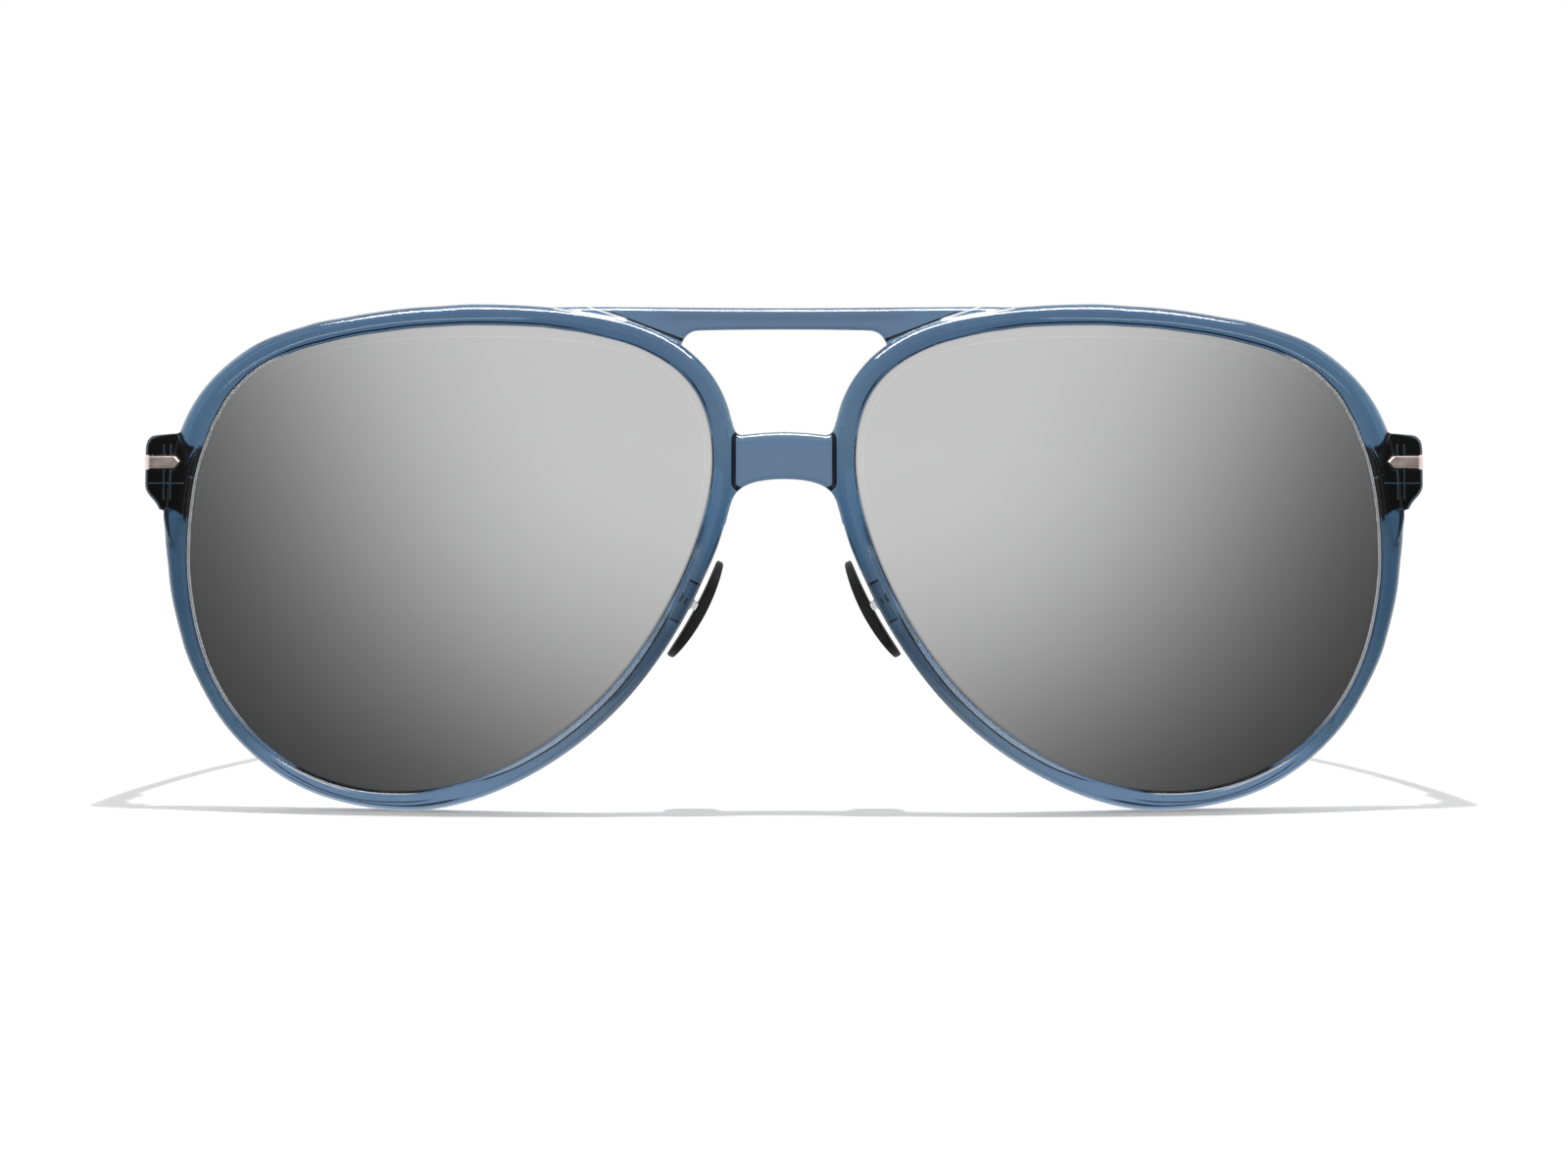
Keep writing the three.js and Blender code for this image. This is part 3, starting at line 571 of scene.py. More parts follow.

# Colours of what is drawn inside the front: black and blues for painted shade and the lug's dark seat,
# glint blue for painted glints, wedge blue and white for painted highlights.
SHADE_BLACK = (0.002, 0.002, 0.003, 1)
TAB_SHADE_BLUE = (0.13, 0.165, 0.175, 1)
BAND_SHADE_BLUE = (0.3, 0.4, 0.5, 1)
FOLD_SHADE_BLUE = (0.25, 0.34, 0.42, 1)
DARK_FOLD_SHADE = (0.06, 0.055, 0.06, 1)
GLINT_BLUE = (0.012, 0.035, 0.07, 1)
SHADE_BLUE = (0.075, 0.14, 0.23, 1)
WEDGE_HIGHLIGHT_BLUE = (0.42, 0.66, 0.95, 1)
HIGHLIGHT_WHITE = (0.93, 0.95, 0.97, 1)

# Lines along the rim, as (turn, distance from the lens's edge) pairs: the shade lines are painted shade,
# the gleams painted highlights, the wedge's edge bounds its painted highlight and outlines it in painted
# shade, the tail's top bounds the tab's painted shade.
OUTER_SHADE_LINE = [(0.035, 3.0), (0.07, 2.55), (0.095, 2.3), (0.13, 1.95), (0.17, 2.05), (0.2, 2.2)]
UPPER_GLEAM = [(0.05, 1.4), (0.08, 1.15), (0.14, 0.85), (0.2, 1.0), (0.26, 1.15)]
NOSE_SHADE_LINES = (
    [(0.2, 0.9), (0.3, 0.8), (0.36, 0.95), (0.42, 1.1)],
    [(0.24, 1.8), (0.31, 1.75), (0.36, 1.9), (0.42, 1.75)],
)
PAD_SHADE_LINE = [(0.45, 2.08), (0.49, 1.84), (0.53, 1.78), (0.57, 1.88), (0.6, 1.94)]
WEDGE_EDGE = [
    (0.5, 0.3), (0.52, 0.48), (0.57, 0.57), (0.62, 0.53), (0.65, 0.4), (0.67, 0.15), (0.68, 0.0),
]
TAIL_TOP = [(0.51, 1.65), (0.57, 1.0), (0.6, 0.8)]
LOWER_SHADE_LINE = [(0.7, 0.75), (0.72, 0.9), (0.75, 1.13), (0.774, 1.04), (0.795, 0.87), (0.815, 0.6)]
LOWER_GLEAM = [(0.752, 0.36), (0.775, 0.27), (0.79, 0.2), (0.8, 0.2), (0.812, 0.28)]

# Stretches of the rim, as turns.
EDGE_TURNS = (0.02, 0.3), (0.345, 0.4)
LOW_EDGE_TURNS, DIM_PATCH_TURNS, SHADE_TURNS = (0.69, 0.812), (0.445, 0.476), (0.466, 0.52)
WEDGE_TURNS, TAIL_TURNS = (0.495, 0.675), (0.514, 0.585)

# Straight lines seen from in front: two (aside, up) ends, a half width. The crease and the lug's slit are
# painted shade, the brow's streaks painted highlights.
BROW_CREASE = (11.0, 53.0), (19.6, 56.35), 0.18
BROW_STREAKS = ((17.5, 55.4), (22.4, 57.0), 0.12), ((17.4, 55.3), (26.0, 56.7), 0.14)
BROW_FOOT = 50.0, 51.0  # nothing of the brow bar is drawn below
LUG_SLIT = (-34.3, 70.62), (-30.6, 70.1), 0.2  # down the rim under the lug, as (down, aside)

# The seam at the bridge's ends, drawn in painted shade: a rounded box about its middle.
SEAM_SIDE, SEAM_Z, SEAM_HALF, SEAM_RADIUS, SEAM_THICK = 4.9, 39.6, 2.4, 0.72, 0.25
SEAM_FROM, SEAM_TO = (4.3, SEAM_SIDE), (5.9, 6.0)
# The pad's tab, between two ticks along the pad, this far out of the lens's edge, up and aside; tab and
# ticks are painted shade.
TICKS, TAB_ENDS = ((-2.85, 0.11), (1.95, 0.09)), (-2.85, 1.95)
TAB_INSIDE, TAB_FOOT, TAB_SIDE = (0.65, 0.75), (16.0, 17.0), (16.0, 17.0)
RIM_INSIDE = 0.5, 0.62  # the strip beside the lens ends here
BAND = 1.3, 0.1, 0.45  # a faint band of painted shade along the rim: its place, half width and softness
FACE_DEPTHS = 1.3, 1.7  # what is drawn near the front surface fades out between these
SEEN_HALF, SEEN_ENDS, SEEN_BACK = 0.78, (-3.0, 2.1), (-1.6, -1.2)  # the pad's post, painted white as a highlight
# Painted glints of the metal seen in the lug: its posts and bar as (place, half width, middle, half length,
# softness).
LUG_POSTS = (70.92, 70.06), 0.05, 38.4, 2.9, 0.4
LUG_BAR = 37.1, 0.05, 70.6, 2.0, 0.4
# The painted glint along the lug's outline, and where the lug's painted black seat ends at its foot.
OUTLINE_INSET, OUTLINE_FROM = -0.32, (68.6, 69.2)
LUG_FOOT, LUG_FOOT_SIDE, LUG_FOOT_RISE = (34.3, 34.6), 69.8, 0.8
# Where the painted highlight line along the lens begins, aside and up.
LENS_LINE_SIDE, LENS_LINE_Z = (56.0, 58.0), (7.5, 11.0)


class Moulding(Nodes):
    """Clear blue nylon, with painted shade and painted highlights drawn on by the places kept on its mesh:
    turn is the way round the rim, across the distance from the lens's edge, skin the depth below the front
    surface; lug, edge and gap are distances from the lug's outline and the rim's outer and inner edges; u,
    v, w are in the pad's axes."""

    def __init__(self, name):
        super().__init__(name)
        x, _, self.z = self.add("ShaderNodeSeparateXYZ", {0: self.place()}).outputs
        self.side = self.calc("ABSOLUTE", x)
        self.turn, self.across, self.skin = self.split("rim")
        self.lug, self.edge, self.gap = self.split("ends")
        self.u, self.v, self.w = self.split("pad")
        self.face = self.below(self.skin, *FACE_DEPTHS)
        self.on_brow = self.above(self.z, *BROW_FOOT)
        self.by_lens = self.below(self.across, *RIM_INSIDE)
        self.on_tab = self.all(self.above(self.across, *TAB_INSIDE), self.below(self.edge, -0.06, 0.0),
                               self.above(self.z, *TAB_FOOT), self.below(self.side, *TAB_SIDE))

    def drawn(self, pairs, half, soft=0.05):
        """A thin line along the rim."""
        off = self.less(self.across, self.curve(self.turn, pairs))
        ends = self.within(self.turn, pairs[0][0], pairs[-1][0], 0.012)
        return self.all(self.line(off, 0.0, half, soft), ends)

    def turns(self, stretch, soft=0.02):
        return self.within(self.turn, *stretch, soft)

    def share(self, factor, mask):
        return self.calc("MULTIPLY", mask, factor)

    def bridge_seam(self):
        """A rounded seam where the bridge meets the rim, darkened with painted shade."""
        aside = self.less(self.side, SEAM_SIDE)
        up = self.less(self.calc("ABSOLUTE", self.less(self.z, SEAM_Z)), SEAM_HALF)
        squares = [self.calc("POWER", self.calc("MAXIMUM", a, 0.0), 2.0) for a in (aside, up)]
        far = self.calc("SQRT", self.calc("ADD", *squares))
        return self.all(self.line(far, SEAM_RADIUS, SEAM_THICK), self.above(self.side, *SEAM_FROM),
                        self.below(self.side, *SEAM_TO))

    def brow_crease(self):
        """Painted shade: a dark line from the brow bar's lower edge up into the rim, along the crease."""
        return self.all(self.ruled(self.side, self.z, *BROW_CREASE), self.on_brow)

    def lug_slit(self):
        # Painted shade: a dark slit line down the rim under the lug.
        down = self.calc("MULTIPLY", self.z, -1.0)
        return self.ruled(down, self.side, *LUG_SLIT, 0.1)

    def ticks(self):
        """Two short dark lines across the rim at the tab's ends, painted shade in its slits."""
        return self.all(self.any(*[self.line(self.u, at, half, 0.05) for at, half in TICKS]), self.on_tab)

    def inner_edge(self):
        """Painted shade: a dark line beside the lens, stronger under it, and a dim patch above the pad."""
        thin = self.all(self.line(self.gap, 0.13, 0.06), self.any(*[self.turns(t) for t in EDGE_TURNS]))
        lower = self.all(self.line(self.gap, 0.05, 0.1, 0.04), self.turns(LOW_EDGE_TURNS))
        dim_patch = self.all(self.turns(DIM_PATCH_TURNS, 0.012), self.below(self.across, 0.2, 0.5))
        return self.any(thin, lower, self.share(0.5, dim_patch))

    def lug_metal_and_glints(self):
        """Where the black metal fills the lug, painted black on the plastic as the metal seen through it
        with painted shade, and the painted glints of its edges.
        """
        near = self.calc("MAXIMUM", self.less(LUG_FOOT_SIDE, self.side), 0.0)
        foot = self.calc("MULTIPLY_ADD", near, LUG_FOOT_RISE, self.z)
        seat = self.all(self.map(self.lug, -0.05, -0.2, 0.0, 1.0), self.above(foot, *LUG_FOOT))
        places, half, middle, reach, soft = LUG_POSTS
        posts = self.any(*[self.line(self.side, at, half) for at in places])
        posts = self.all(posts, self.line(self.z, middle, reach, soft))
        at, half, middle, reach, soft = LUG_BAR
        across = self.all(self.line(self.z, at, half), self.line(self.side, middle, reach, soft))
        outline = self.line(self.lug, OUTLINE_INSET, 0.03)
        outline = self.all(outline, self.above(self.side, *OUTLINE_FROM))
        inlay = self.line(self.z, INLAY_Z, INLAY_HALF + 0.12)
        glint = self.all(self.any(posts, across, outline), seat, self.below(inlay, 0.0, 1.0),
                         self.below(self.skin, 0.4, 0.6))
        return seat, glint

    def tint_and_shade(self):
        """The moulding's tint with painted shade: by turn on the rims, by height on the bars and shaded
        along their upper edges, faintly veined.
        """
        vein = self.noise(self.place(), 0.35, 2.0)
        clear = self.ramp(vein, [(0.3, (0.97, 0.975, 0.98)), (0.7, (1, 1, 1))])
        bridge = self.mix(self.line(self.z, BRIDGE_TOP, 0.1, 1.0), *BRIDGE_TINT_AND_SHADE)
        brow = self.mix(self.line(self.z, BROW_TOP, 0.1, 0.6), *BROW_TINT_AND_SHADE)
        bars = self.mix(self.above(self.z, *BARS_APART), bridge, brow)
        beyond = self.all(self.above(self.edge, 0.0, 0.3), self.below(self.side, 12.0, 16.0))
        tint_and_shade = self.mix(beyond, self.ramp(self.turn, RIM_SHADE_TINT), bars)
        inputs = {0: 1.0, 6: clear, 7: tint_and_shade}
        return self.add("ShaderNodeMix", inputs, data_type="RGBA", blend_type="MULTIPLY").outputs[2]

    def tab_shade(self):
        """Painted shade: the darker tab behind the pad, trailing off down the rim."""
        tab_shade = self.all(self.within(self.u, *TAB_ENDS, 0.05), self.on_tab)
        under = self.less(self.across, self.curve(self.turn, TAIL_TOP))
        tail = self.all(self.turns(TAIL_TURNS, 0.01), self.above(self.across, *RIM_INSIDE),
                        self.below(under, 0.0, 0.12))
        return self.all(self.any(tab_shade, tail), self.face)

    def wedge_highlight(self):
        """A painted highlight: the bright wedge beside the lens, below the pad."""
        inside = self.less(self.curve(self.turn, WEDGE_EDGE), self.across)
        return self.all(self.map(inside, 0.08, 0.2, 0.0, 0.5), self.turns(WEDGE_TURNS))

    def painted_highlights(self):
        """Painted highlights in white: lines along the lens, on the brow bar's ends and in the rim, and the
        pad's post.
        """
        lens_line = self.all(self.line(self.gap, -0.02, 0.05), self.above(self.side, *LENS_LINE_SIDE),
                             self.above(self.z, *LENS_LINE_Z))
        streaks = self.any(*[self.ruled(self.side, self.z, *streak) for streak in BROW_STREAKS])
        gleams = self.any(self.all(streaks, self.on_brow), self.drawn(LOWER_GLEAM, 0.05, 0.04),
                          self.share(0.3, self.drawn(UPPER_GLEAM, 0.02, 0.1)))
        post = self.all(self.line(self.v, POST_MIDDLE[1], SEEN_HALF),
                        self.within(self.u, *SEEN_ENDS, 0.1), self.above(self.edge, 0.0, 0.1),
                        self.below(self.w, *SEEN_BACK))
        return self.any(self.all(self.any(lens_line, gleams), self.face), post)


def frame_material():
    """The clear moulding with its tint and painted shade, its dark lines of painted shade, its painted
    highlights, and the metal seen through it with painted glints.
    """
    n = Moulding("translucent_blue")
    seat, glint = n.lug_metal_and_glints()
    wedge_highlight, painted_highlights = n.wedge_highlight(), n.painted_highlights()
    shade = n.all(n.turns(SHADE_TURNS, 0.01), n.by_lens, n.face)
    band_shade = n.all(n.line(n.across, *BAND), n.face)
    faint_shade = [n.share(0.4, n.drawn(faint_line, 0.02, 0.14)) for faint_line in NOSE_SHADE_LINES]
    fold_shade = n.any(n.drawn(OUTER_SHADE_LINE, 0.05, 0.08), *faint_shade)
    dark = n.all(n.any(n.drawn(PAD_SHADE_LINE, 0.08), n.drawn(LOWER_SHADE_LINE, 0.05)), n.face)
    # Painted shade: dark lines at the bridge seam, brow crease, ticks, lug slit, lens edge and wedge edge,
    # and the lug's black seat.
    shade_lines = n.any(n.bridge_seam(), n.brow_crease(), n.ticks(), n.lug_slit(), n.inner_edge(),
                  n.drawn(WEDGE_EDGE, 0.05))
    black_shade = n.any(n.all(shade_lines, n.face), n.all(seat, n.below(glint, 0.0, 1.0)))
    colour = n.tint_and_shade()
    # Painted shade, painted glints and painted highlights, mixed into the tint one by one.
    for mask, drawn_in in (
            (n.share(0.9, n.tab_shade()), TAB_SHADE_BLUE), (n.share(0.14, band_shade), BAND_SHADE_BLUE),
            (n.share(0.75, n.all(fold_shade, n.face)), FOLD_SHADE_BLUE), (dark, DARK_FOLD_SHADE), (black_shade, SHADE_BLACK),
            (glint, GLINT_BLUE), (shade, SHADE_BLUE), (wedge_highlight, WEDGE_HIGHLIGHT_BLUE), (painted_highlights, HIGHLIGHT_WHITE)):
        colour = n.mix(mask, colour, drawn_in)
    opaque = n.any(glint, painted_highlights, shade, n.all(wedge_highlight, n.face))
    n.set(Base_Color=colour, Roughness=n.spread(n.noise(n.place(), 3.0), 0.02, 0.05), IOR=1.5,
          Transmission_Weight=n.below(opaque, 0.0, 1.0))
    inputs = {"Color": ABSORBED_COLOUR, "Density": ABSORBED_DENSITY}
    n.put(n.output.inputs["Volume"], n.add("ShaderNodeVolumeAbsorption", inputs).outputs[0])
    return n.material


# ---------- the other materials ----------
# How the mirror's brightness varies, a painted reflection: factors of powers of the place across and up, as
# an exponent.
PAINTED_REFLECTION_TERMS = [
    (-0.087, 0, 1), (0.072, 0, 2), (0.234, 0, 3), (0.108, 1, 0), (0.1, 1, 1), (-0.02, 1, 2),
    (0.154, 2, 0), (-0.28, 2, 1), (-0.3, 3, 0),
]
COAT_X, COAT_Z, COAT_HALF_WIDTH, COAT_HALF_HEIGHT = 38.0, 30.0, 30.0, 27.0
# Where the painted reflection starts, the mirror's level, and the place of the painted highlight line.
COAT_START, COAT_LEVEL, EDGE_LINE = -0.026, 0.778, -0.95


def mirror_material():
    """A mirror graded by a painted reflection, with a painted highlight line just inside the lens's edge.
    """
    n = Nodes("mirror_grey")
    x, _, z = n.add("ShaderNodeSeparateXYZ", {0: n.place()}).outputs
    out = n.calc("DIVIDE", n.less(n.calc("ABSOLUTE", x), COAT_X), COAT_HALF_WIDTH)
    up = n.calc("DIVIDE", n.less(z, COAT_Z), COAT_HALF_HEIGHT)
    power = n.powers(COAT_START, PAINTED_REFLECTION_TERMS, out, up)
    edge_highlight = n.line(n.split("rim")[1], EDGE_LINE, 0.03, 0.05)
    haze = n.noise(n.place(), 0.12, 2.0)
    power = n.calc("MULTIPLY_ADD", edge_highlight, 0.07, n.calc("MULTIPLY_ADD", haze, 0.02, power))
    level = n.calc("MULTIPLY", n.calc("EXPONENT", power), COAT_LEVEL)
    inputs = {0: level, 1: level, 2: n.calc("MULTIPLY", level, 1.003)}
    grey = n.add("ShaderNodeCombineColor", inputs).outputs[0]
    n.set(Base_Color=grey, Metallic=1.0, Roughness=n.spread(n.noise(n.place(), 1.2), 0.03, 0.05))
    return n.material


def lens_back_material():
    n = Nodes("lens_back_grey")
    haze = n.noise(n.place(), 0.15, 2.0)
    n.set(Base_Color=n.ramp(haze, [(0.3, (0.018, 0.019, 0.021)), (0.7, (0.026, 0.027, 0.03))]),
          Roughness=n.spread(n.noise(n.place(), 2.0), 0.04, 0.08), Coat_Weight=1.0, Coat_Roughness=0.02)
    return n.material


def brushed_material(name, dark, middle, light):
    """Warm gunmetal, brushed along the temple."""
    n = Nodes(name)
    place = n.place()
    stretched = n.add("ShaderNodeMapping", {"Vector": place, "Scale": (9.0, 0.25, 9.0)}).outputs[0]
    line = n.noise(stretched, 1.6, 4.0)
    n.set(Base_Color=n.ramp(line, [(0.25, dark), (0.5, middle), (0.8, light)]), Metallic=1.0,
          Roughness=n.spread(n.noise(place, 0.6), 0.26, 0.4))
    n.bump(line, 0.25, 0.00004)
    return n.material


def black_metal_material():
    n = Nodes("black_steel")
    grain = n.noise(n.place(), 6.0)
    n.set(Base_Color=n.ramp(grain, [(0.3, (0.006, 0.006, 0.007)), (0.75, (0.022, 0.022, 0.024))]),
          Metallic=0.6, Roughness=n.spread(grain, 0.28, 0.42))
    n.bump(grain, 0.12, 0.00003)
    return n.material


def elastomer_material(name, dark, light):
    n = Nodes(name)
    place = n.place()
    dust = n.noise(place, 0.4)
    n.set(Base_Color=n.ramp(dust, [(0.3, (dark,) * 3), (0.75, (light,) * 3)]),
          Roughness=n.spread(dust, 0.55, 0.7))
    n.bump(n.noise(place, 9.0), 0.25, 0.00004)
    return n.material


FRAME_BLUE = frame_material()
MIRROR = mirror_material()
LENS_BACK = lens_back_material()
BRUSHED = brushed_material(
    "brushed_gunmetal", (0.23, 0.185, 0.17), (0.36, 0.29, 0.265), (0.52, 0.43, 0.39))
BRIGHT = brushed_material("brushed_bright", (0.62, 0.5, 0.45), (0.92, 0.77, 0.71), (1.0, 0.9, 0.86))
BLACK_METAL = black_metal_material()
PAD_RUBBER = elastomer_material("pad_elastomer", 0.006, 0.012)
SLEEVE_RUBBER = elastomer_material("sleeve_elastomer", 0.012, 0.024)


def dress(obj, body, slot, *materials, replaces):
    for material in materials:
        obj.data.materials.append(material)
    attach(obj, body)
    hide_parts(*replaces)


# ---------- front ----------
FRONT_ROOM = (-75, 0.2, -0.6), (75, 19.4, 58)
FRONT_STEP = 0.2


def front():
    """The moulding, with the places that its material is drawn by."""
    points, quads, normals = surface(front_field, *FRONT_ROOM, FRONT_STEP)
    obj = make("moulded_front", points, quads, normals)
    x, y, z = points.T
    across = look_up(LENS_FIELD, x, z)
    places(obj, "rim", look_up(TURN_FIELD, x, z), across, y - front_depth(x, z))
    places(obj, "ends", look_up(LUG_FIELD, x, z), across - look_up(OUTER_FIELD, x, z),
           across - look_up(INNER_FIELD, x, z))
    places(obj, "pad", *in_pad(x, y, z))
    dress(obj, "front", "frame", FRAME_BLUE, replaces=["frame_front"])


front()


# ---------- lenses ----------
LENS_MIDDLE, LENS_FACE, LENS_REAR, LENS_BEVEL = np.array([[38.0, 30.0]]), 0.85, 2.6, 0.9
# The lens's edge, as (inset from the rim's inner edge, depth below the reference surface).
FRONT_EDGE = [
    (1.15, 0.85), (0.9, 0.85), (0.4, 0.85), (0.12, 0.85), (0.08, 0.87), (0.03, 1.0), (-0.05, 1.7),
]
REAR_EDGE = [(-0.05, 2.5), (0.0, 2.6), (1.2, 2.6)]


def lens(name, sign):
    """A mirror shell with a fine bevel inside the rim, dark behind."""
    loop = evenly(LENS_EDGE, 360)
    tangent = np.roll(loop, -1, axis=0) - np.roll(loop, 1, axis=0)
    out = np.column_stack([tangent[:, 1], -tangent[:, 0]])
    out /= np.linalg.norm(out, axis=1, keepdims=True)
    reach = smooth_steps(RIM_INNER, np.arange(len(loop)) / len(loop))[:, None]

    def shrunk(shares, depth):
        spread = loop - out * LENS_BEVEL - LENS_MIDDLE
        return [(LENS_MIDDLE + spread * share, depth) for share in shares]

    def edge(steps):
        return [(loop - out * (inset - reach), depth) for inset, depth in steps]

    front_rings = shrunk(np.linspace(0.04, 0.94, 16), LENS_FACE) + edge(FRONT_EDGE)
    rings = front_rings + edge(REAR_EDGE) + shrunk(np.linspace(0.94, 0.04, 12), LENS_REAR)
    p = np.vstack([
        np.column_stack([ring[:, 0], np.full(len(ring), depth), ring[:, 1]])
        for ring, depth in [(LENS_MIDDLE, LENS_FACE), *rings, (LENS_MIDDLE, LENS_REAR)]])
    p[:, 1] += front_depth(p[:, 0], p[:, 2])
    p[:, 0] *= sign
    n, last = len(loop), len(p) - 1
    faces, dark = [], []
    for i in range(n):
        j = (i + 1) % n
        faces.append((0, 1 + j, 1 + i))
        dark.append(0)
        for k in range(len(rings) - 1):
            a, b = 1 + k * n, 1 + (k + 1) * n
            faces.append((a + i, a + j, b + j, b + i))
            dark.append(int(k >= len(front_rings) - 1))
        faces.append((last - n + i, last - n + j, last))
        dark.append(1)
    obj = make(name, p, faces if sign > 0 else [face[::-1] for face in faces])
    obj.data.polygons.foreach_set("material_index", dark)
    x, _, z = p.T
    places(obj, "rim", look_up(TURN_FIELD, x, z), look_up(LENS_FIELD, x, z), 0 * x)
    return obj


for suffix, sign in SIDES:
    shell = lens(f"mirror_lens_{suffix}", sign)
    dress(shell, "front", "lens", MIRROR, LENS_BACK, replaces=[f"lens_{suffix}"])


# ---------- nose pads ----------
def pad_field(x, y, z):
    """An oval pad, bowed towards the nose, with a crowned face."""
    u, v, w = in_pad(x, y, z)
    bow = np.clip(1 - (u / PAD_HALF_LENGTH) ** 2, 0, 1)
    base = PAD_OFFSET + PAD_LIFT + PAD_BOW * bow
    top = base + PAD_THICKNESS + PAD_CROWN * bow
    beyond = np.maximum(np.abs(u) - PAD_HALF_LENGTH + PAD_END, 0)
    return both(PAD_ROUNDING, np.hypot(beyond, w) - PAD_HALF_WIDTH, base - v, v - top)


def half_piece(name, sign, field, low, high, step):
    """A small solid drawn for the wearer's left, or its mirror image."""
    points, quads, normals = surface(field, low, high, step)
    flip = np.array([sign, 1, 1])
    return make(name, points * flip, quads if sign > 0 else quads[:, ::-1], normals * flip)


for suffix, sign in SIDES:
    pad = half_piece(f"soft_pad_{suffix}", sign, pad_field, *PAD_ROOM, 0.2)
    dress(pad, "front", "elastomer", PAD_RUBBER, replaces=[f"nose_pad_{suffix}"])


# ---------- lug inlays ----------
INLAY_PROUD, INLAY_THICKNESS, INLAY_BEND, INLAY_INNER_BEND, INLAY_ROUNDING = 0.12, 0.55, 0.9, 0.6, 0.12
INLAY_ROOM = (67.5, 11, 38.4), (74, 19, 40.6)


def inlay_field(x, y, z):
    """A strip bent round the lug's corner, ending in a point on the front."""
    over_front = (front_depth(x, z) - y) * slope(x, z) - INLAY_PROUD
    over_side = np.abs(x) - LUG_OUTER - INLAY_PROUD
    outer = both(INLAY_BEND, over_front, over_side)
    inner = both(INLAY_INNER_BEND, over_front + INLAY_THICKNESS, over_side + INLAY_THICKNESS)
    tip = INLAY_TIP + np.abs(z - INLAY_Z) * INLAY_TIP_SLOPE - np.abs(x)
    return both(INLAY_ROUNDING, np.maximum(outer, -inner), np.abs(z - INLAY_Z) - INLAY_HALF,
                tip / math.hypot(1, INLAY_TIP_SLOPE), y - LUG_BACK)


for suffix, sign in SIDES:
    inlay = half_piece(f"metal_inlay_{suffix}", sign, inlay_field, *INLAY_ROOM, 0.1)
    dress(inlay, "front", "alloy", BRIGHT, replaces=[f"lug_inlay_{suffix}"])


# ---------- temples ----------
TEMPLE_START, ARM_END, SLEEVE_START, TOE_IN, TOE_IN_MORE = 18.45, 94.5, 93.0, 0.0154, 0.00107
TEMPLE_LINE = [
    (TEMPLE_START, 38.6), (35, 36.4), (52, 33.9), (72, 30.8), (92, 26.5),
    (108, 21.9), (125, 15.1), (140, 7.9), (146.7, 4), (150.16, 1.99),
]
HALF_HEIGHTS = [
    (18, 2.5), (36, 2.0), (56, 1.75), (80, 1.95), (93, 2.05), (104, 2.35), (126, 3.2), (146.7, 4),
]
ARM_THICKNESS, ARM_EDGE, ARM_CAPS, ARM_RINGS = 1.5, 0.35, (0.01, 0.01), 160
SLEEVE_THICKNESS, SLEEVE_EDGE, SLEEVE_CAPS = 3.0, 1.2, (1.4, 4.0)
SLEEVE_RINGS = 620
SLIVER = 0.02  # half of what is left where an end is rounded off
RIB_PITCH, RIB_DEPTH, RIB_EDGE_SHARE = 1.15, 0.16, 0.6
PATCH_AT, PATCH_HALF, RIB_FADE = 33.0, 6.0, 2.0


def spline(points, count):
    """Points of a Catmull-Rom curve, evenly spaced along it."""
    p = np.array(points, float)
    p = np.vstack([p[:1], p, p[-1:]])
    out = []
    for i in range(len(p) - 3):
        t = np.linspace(0, 1, 60, endpoint=False)[:, None]
        v0, v1 = (p[i + 2] - p[i]) / 2, (p[i + 3] - p[i + 1]) / 2
        out.append((2 * p[i + 1] - 2 * p[i + 2] + v0 + v1) * t**3
                   + (-3 * p[i + 1] + 3 * p[i + 2] - 2 * v0 - v1) * t**2 + v0 * t + p[i + 1])
    return spaced(np.vstack(out + [p[-1:]]), count)[0]


CENTRE_LINE = spline(TEMPLE_LINE, 3000)


def toe_in(y):
    t = np.maximum(0, y - TEMPLE_START)
    return TOE_IN * t + TOE_IN_MORE * t**2


def rib(run):
    """Ribs across the sleeve, fading out over a smooth patch half way and at its front end."""
    wave = 0.5 - 0.5 * math.cos(2 * math.pi * run / RIB_PITCH)
    plain = min(1, max(0, (abs(run - PATCH_AT) - PATCH_HALF) / RIB_FADE))
    return RIB_DEPTH * wave * plain * min(1, max(0, run - RIB_FADE) / RIB_FADE)


def taken_off(far, radius):
    """What a rounded end takes off, this far from the end."""
    return radius - math.sqrt(radius**2 - max(radius - far, 0) ** 2)


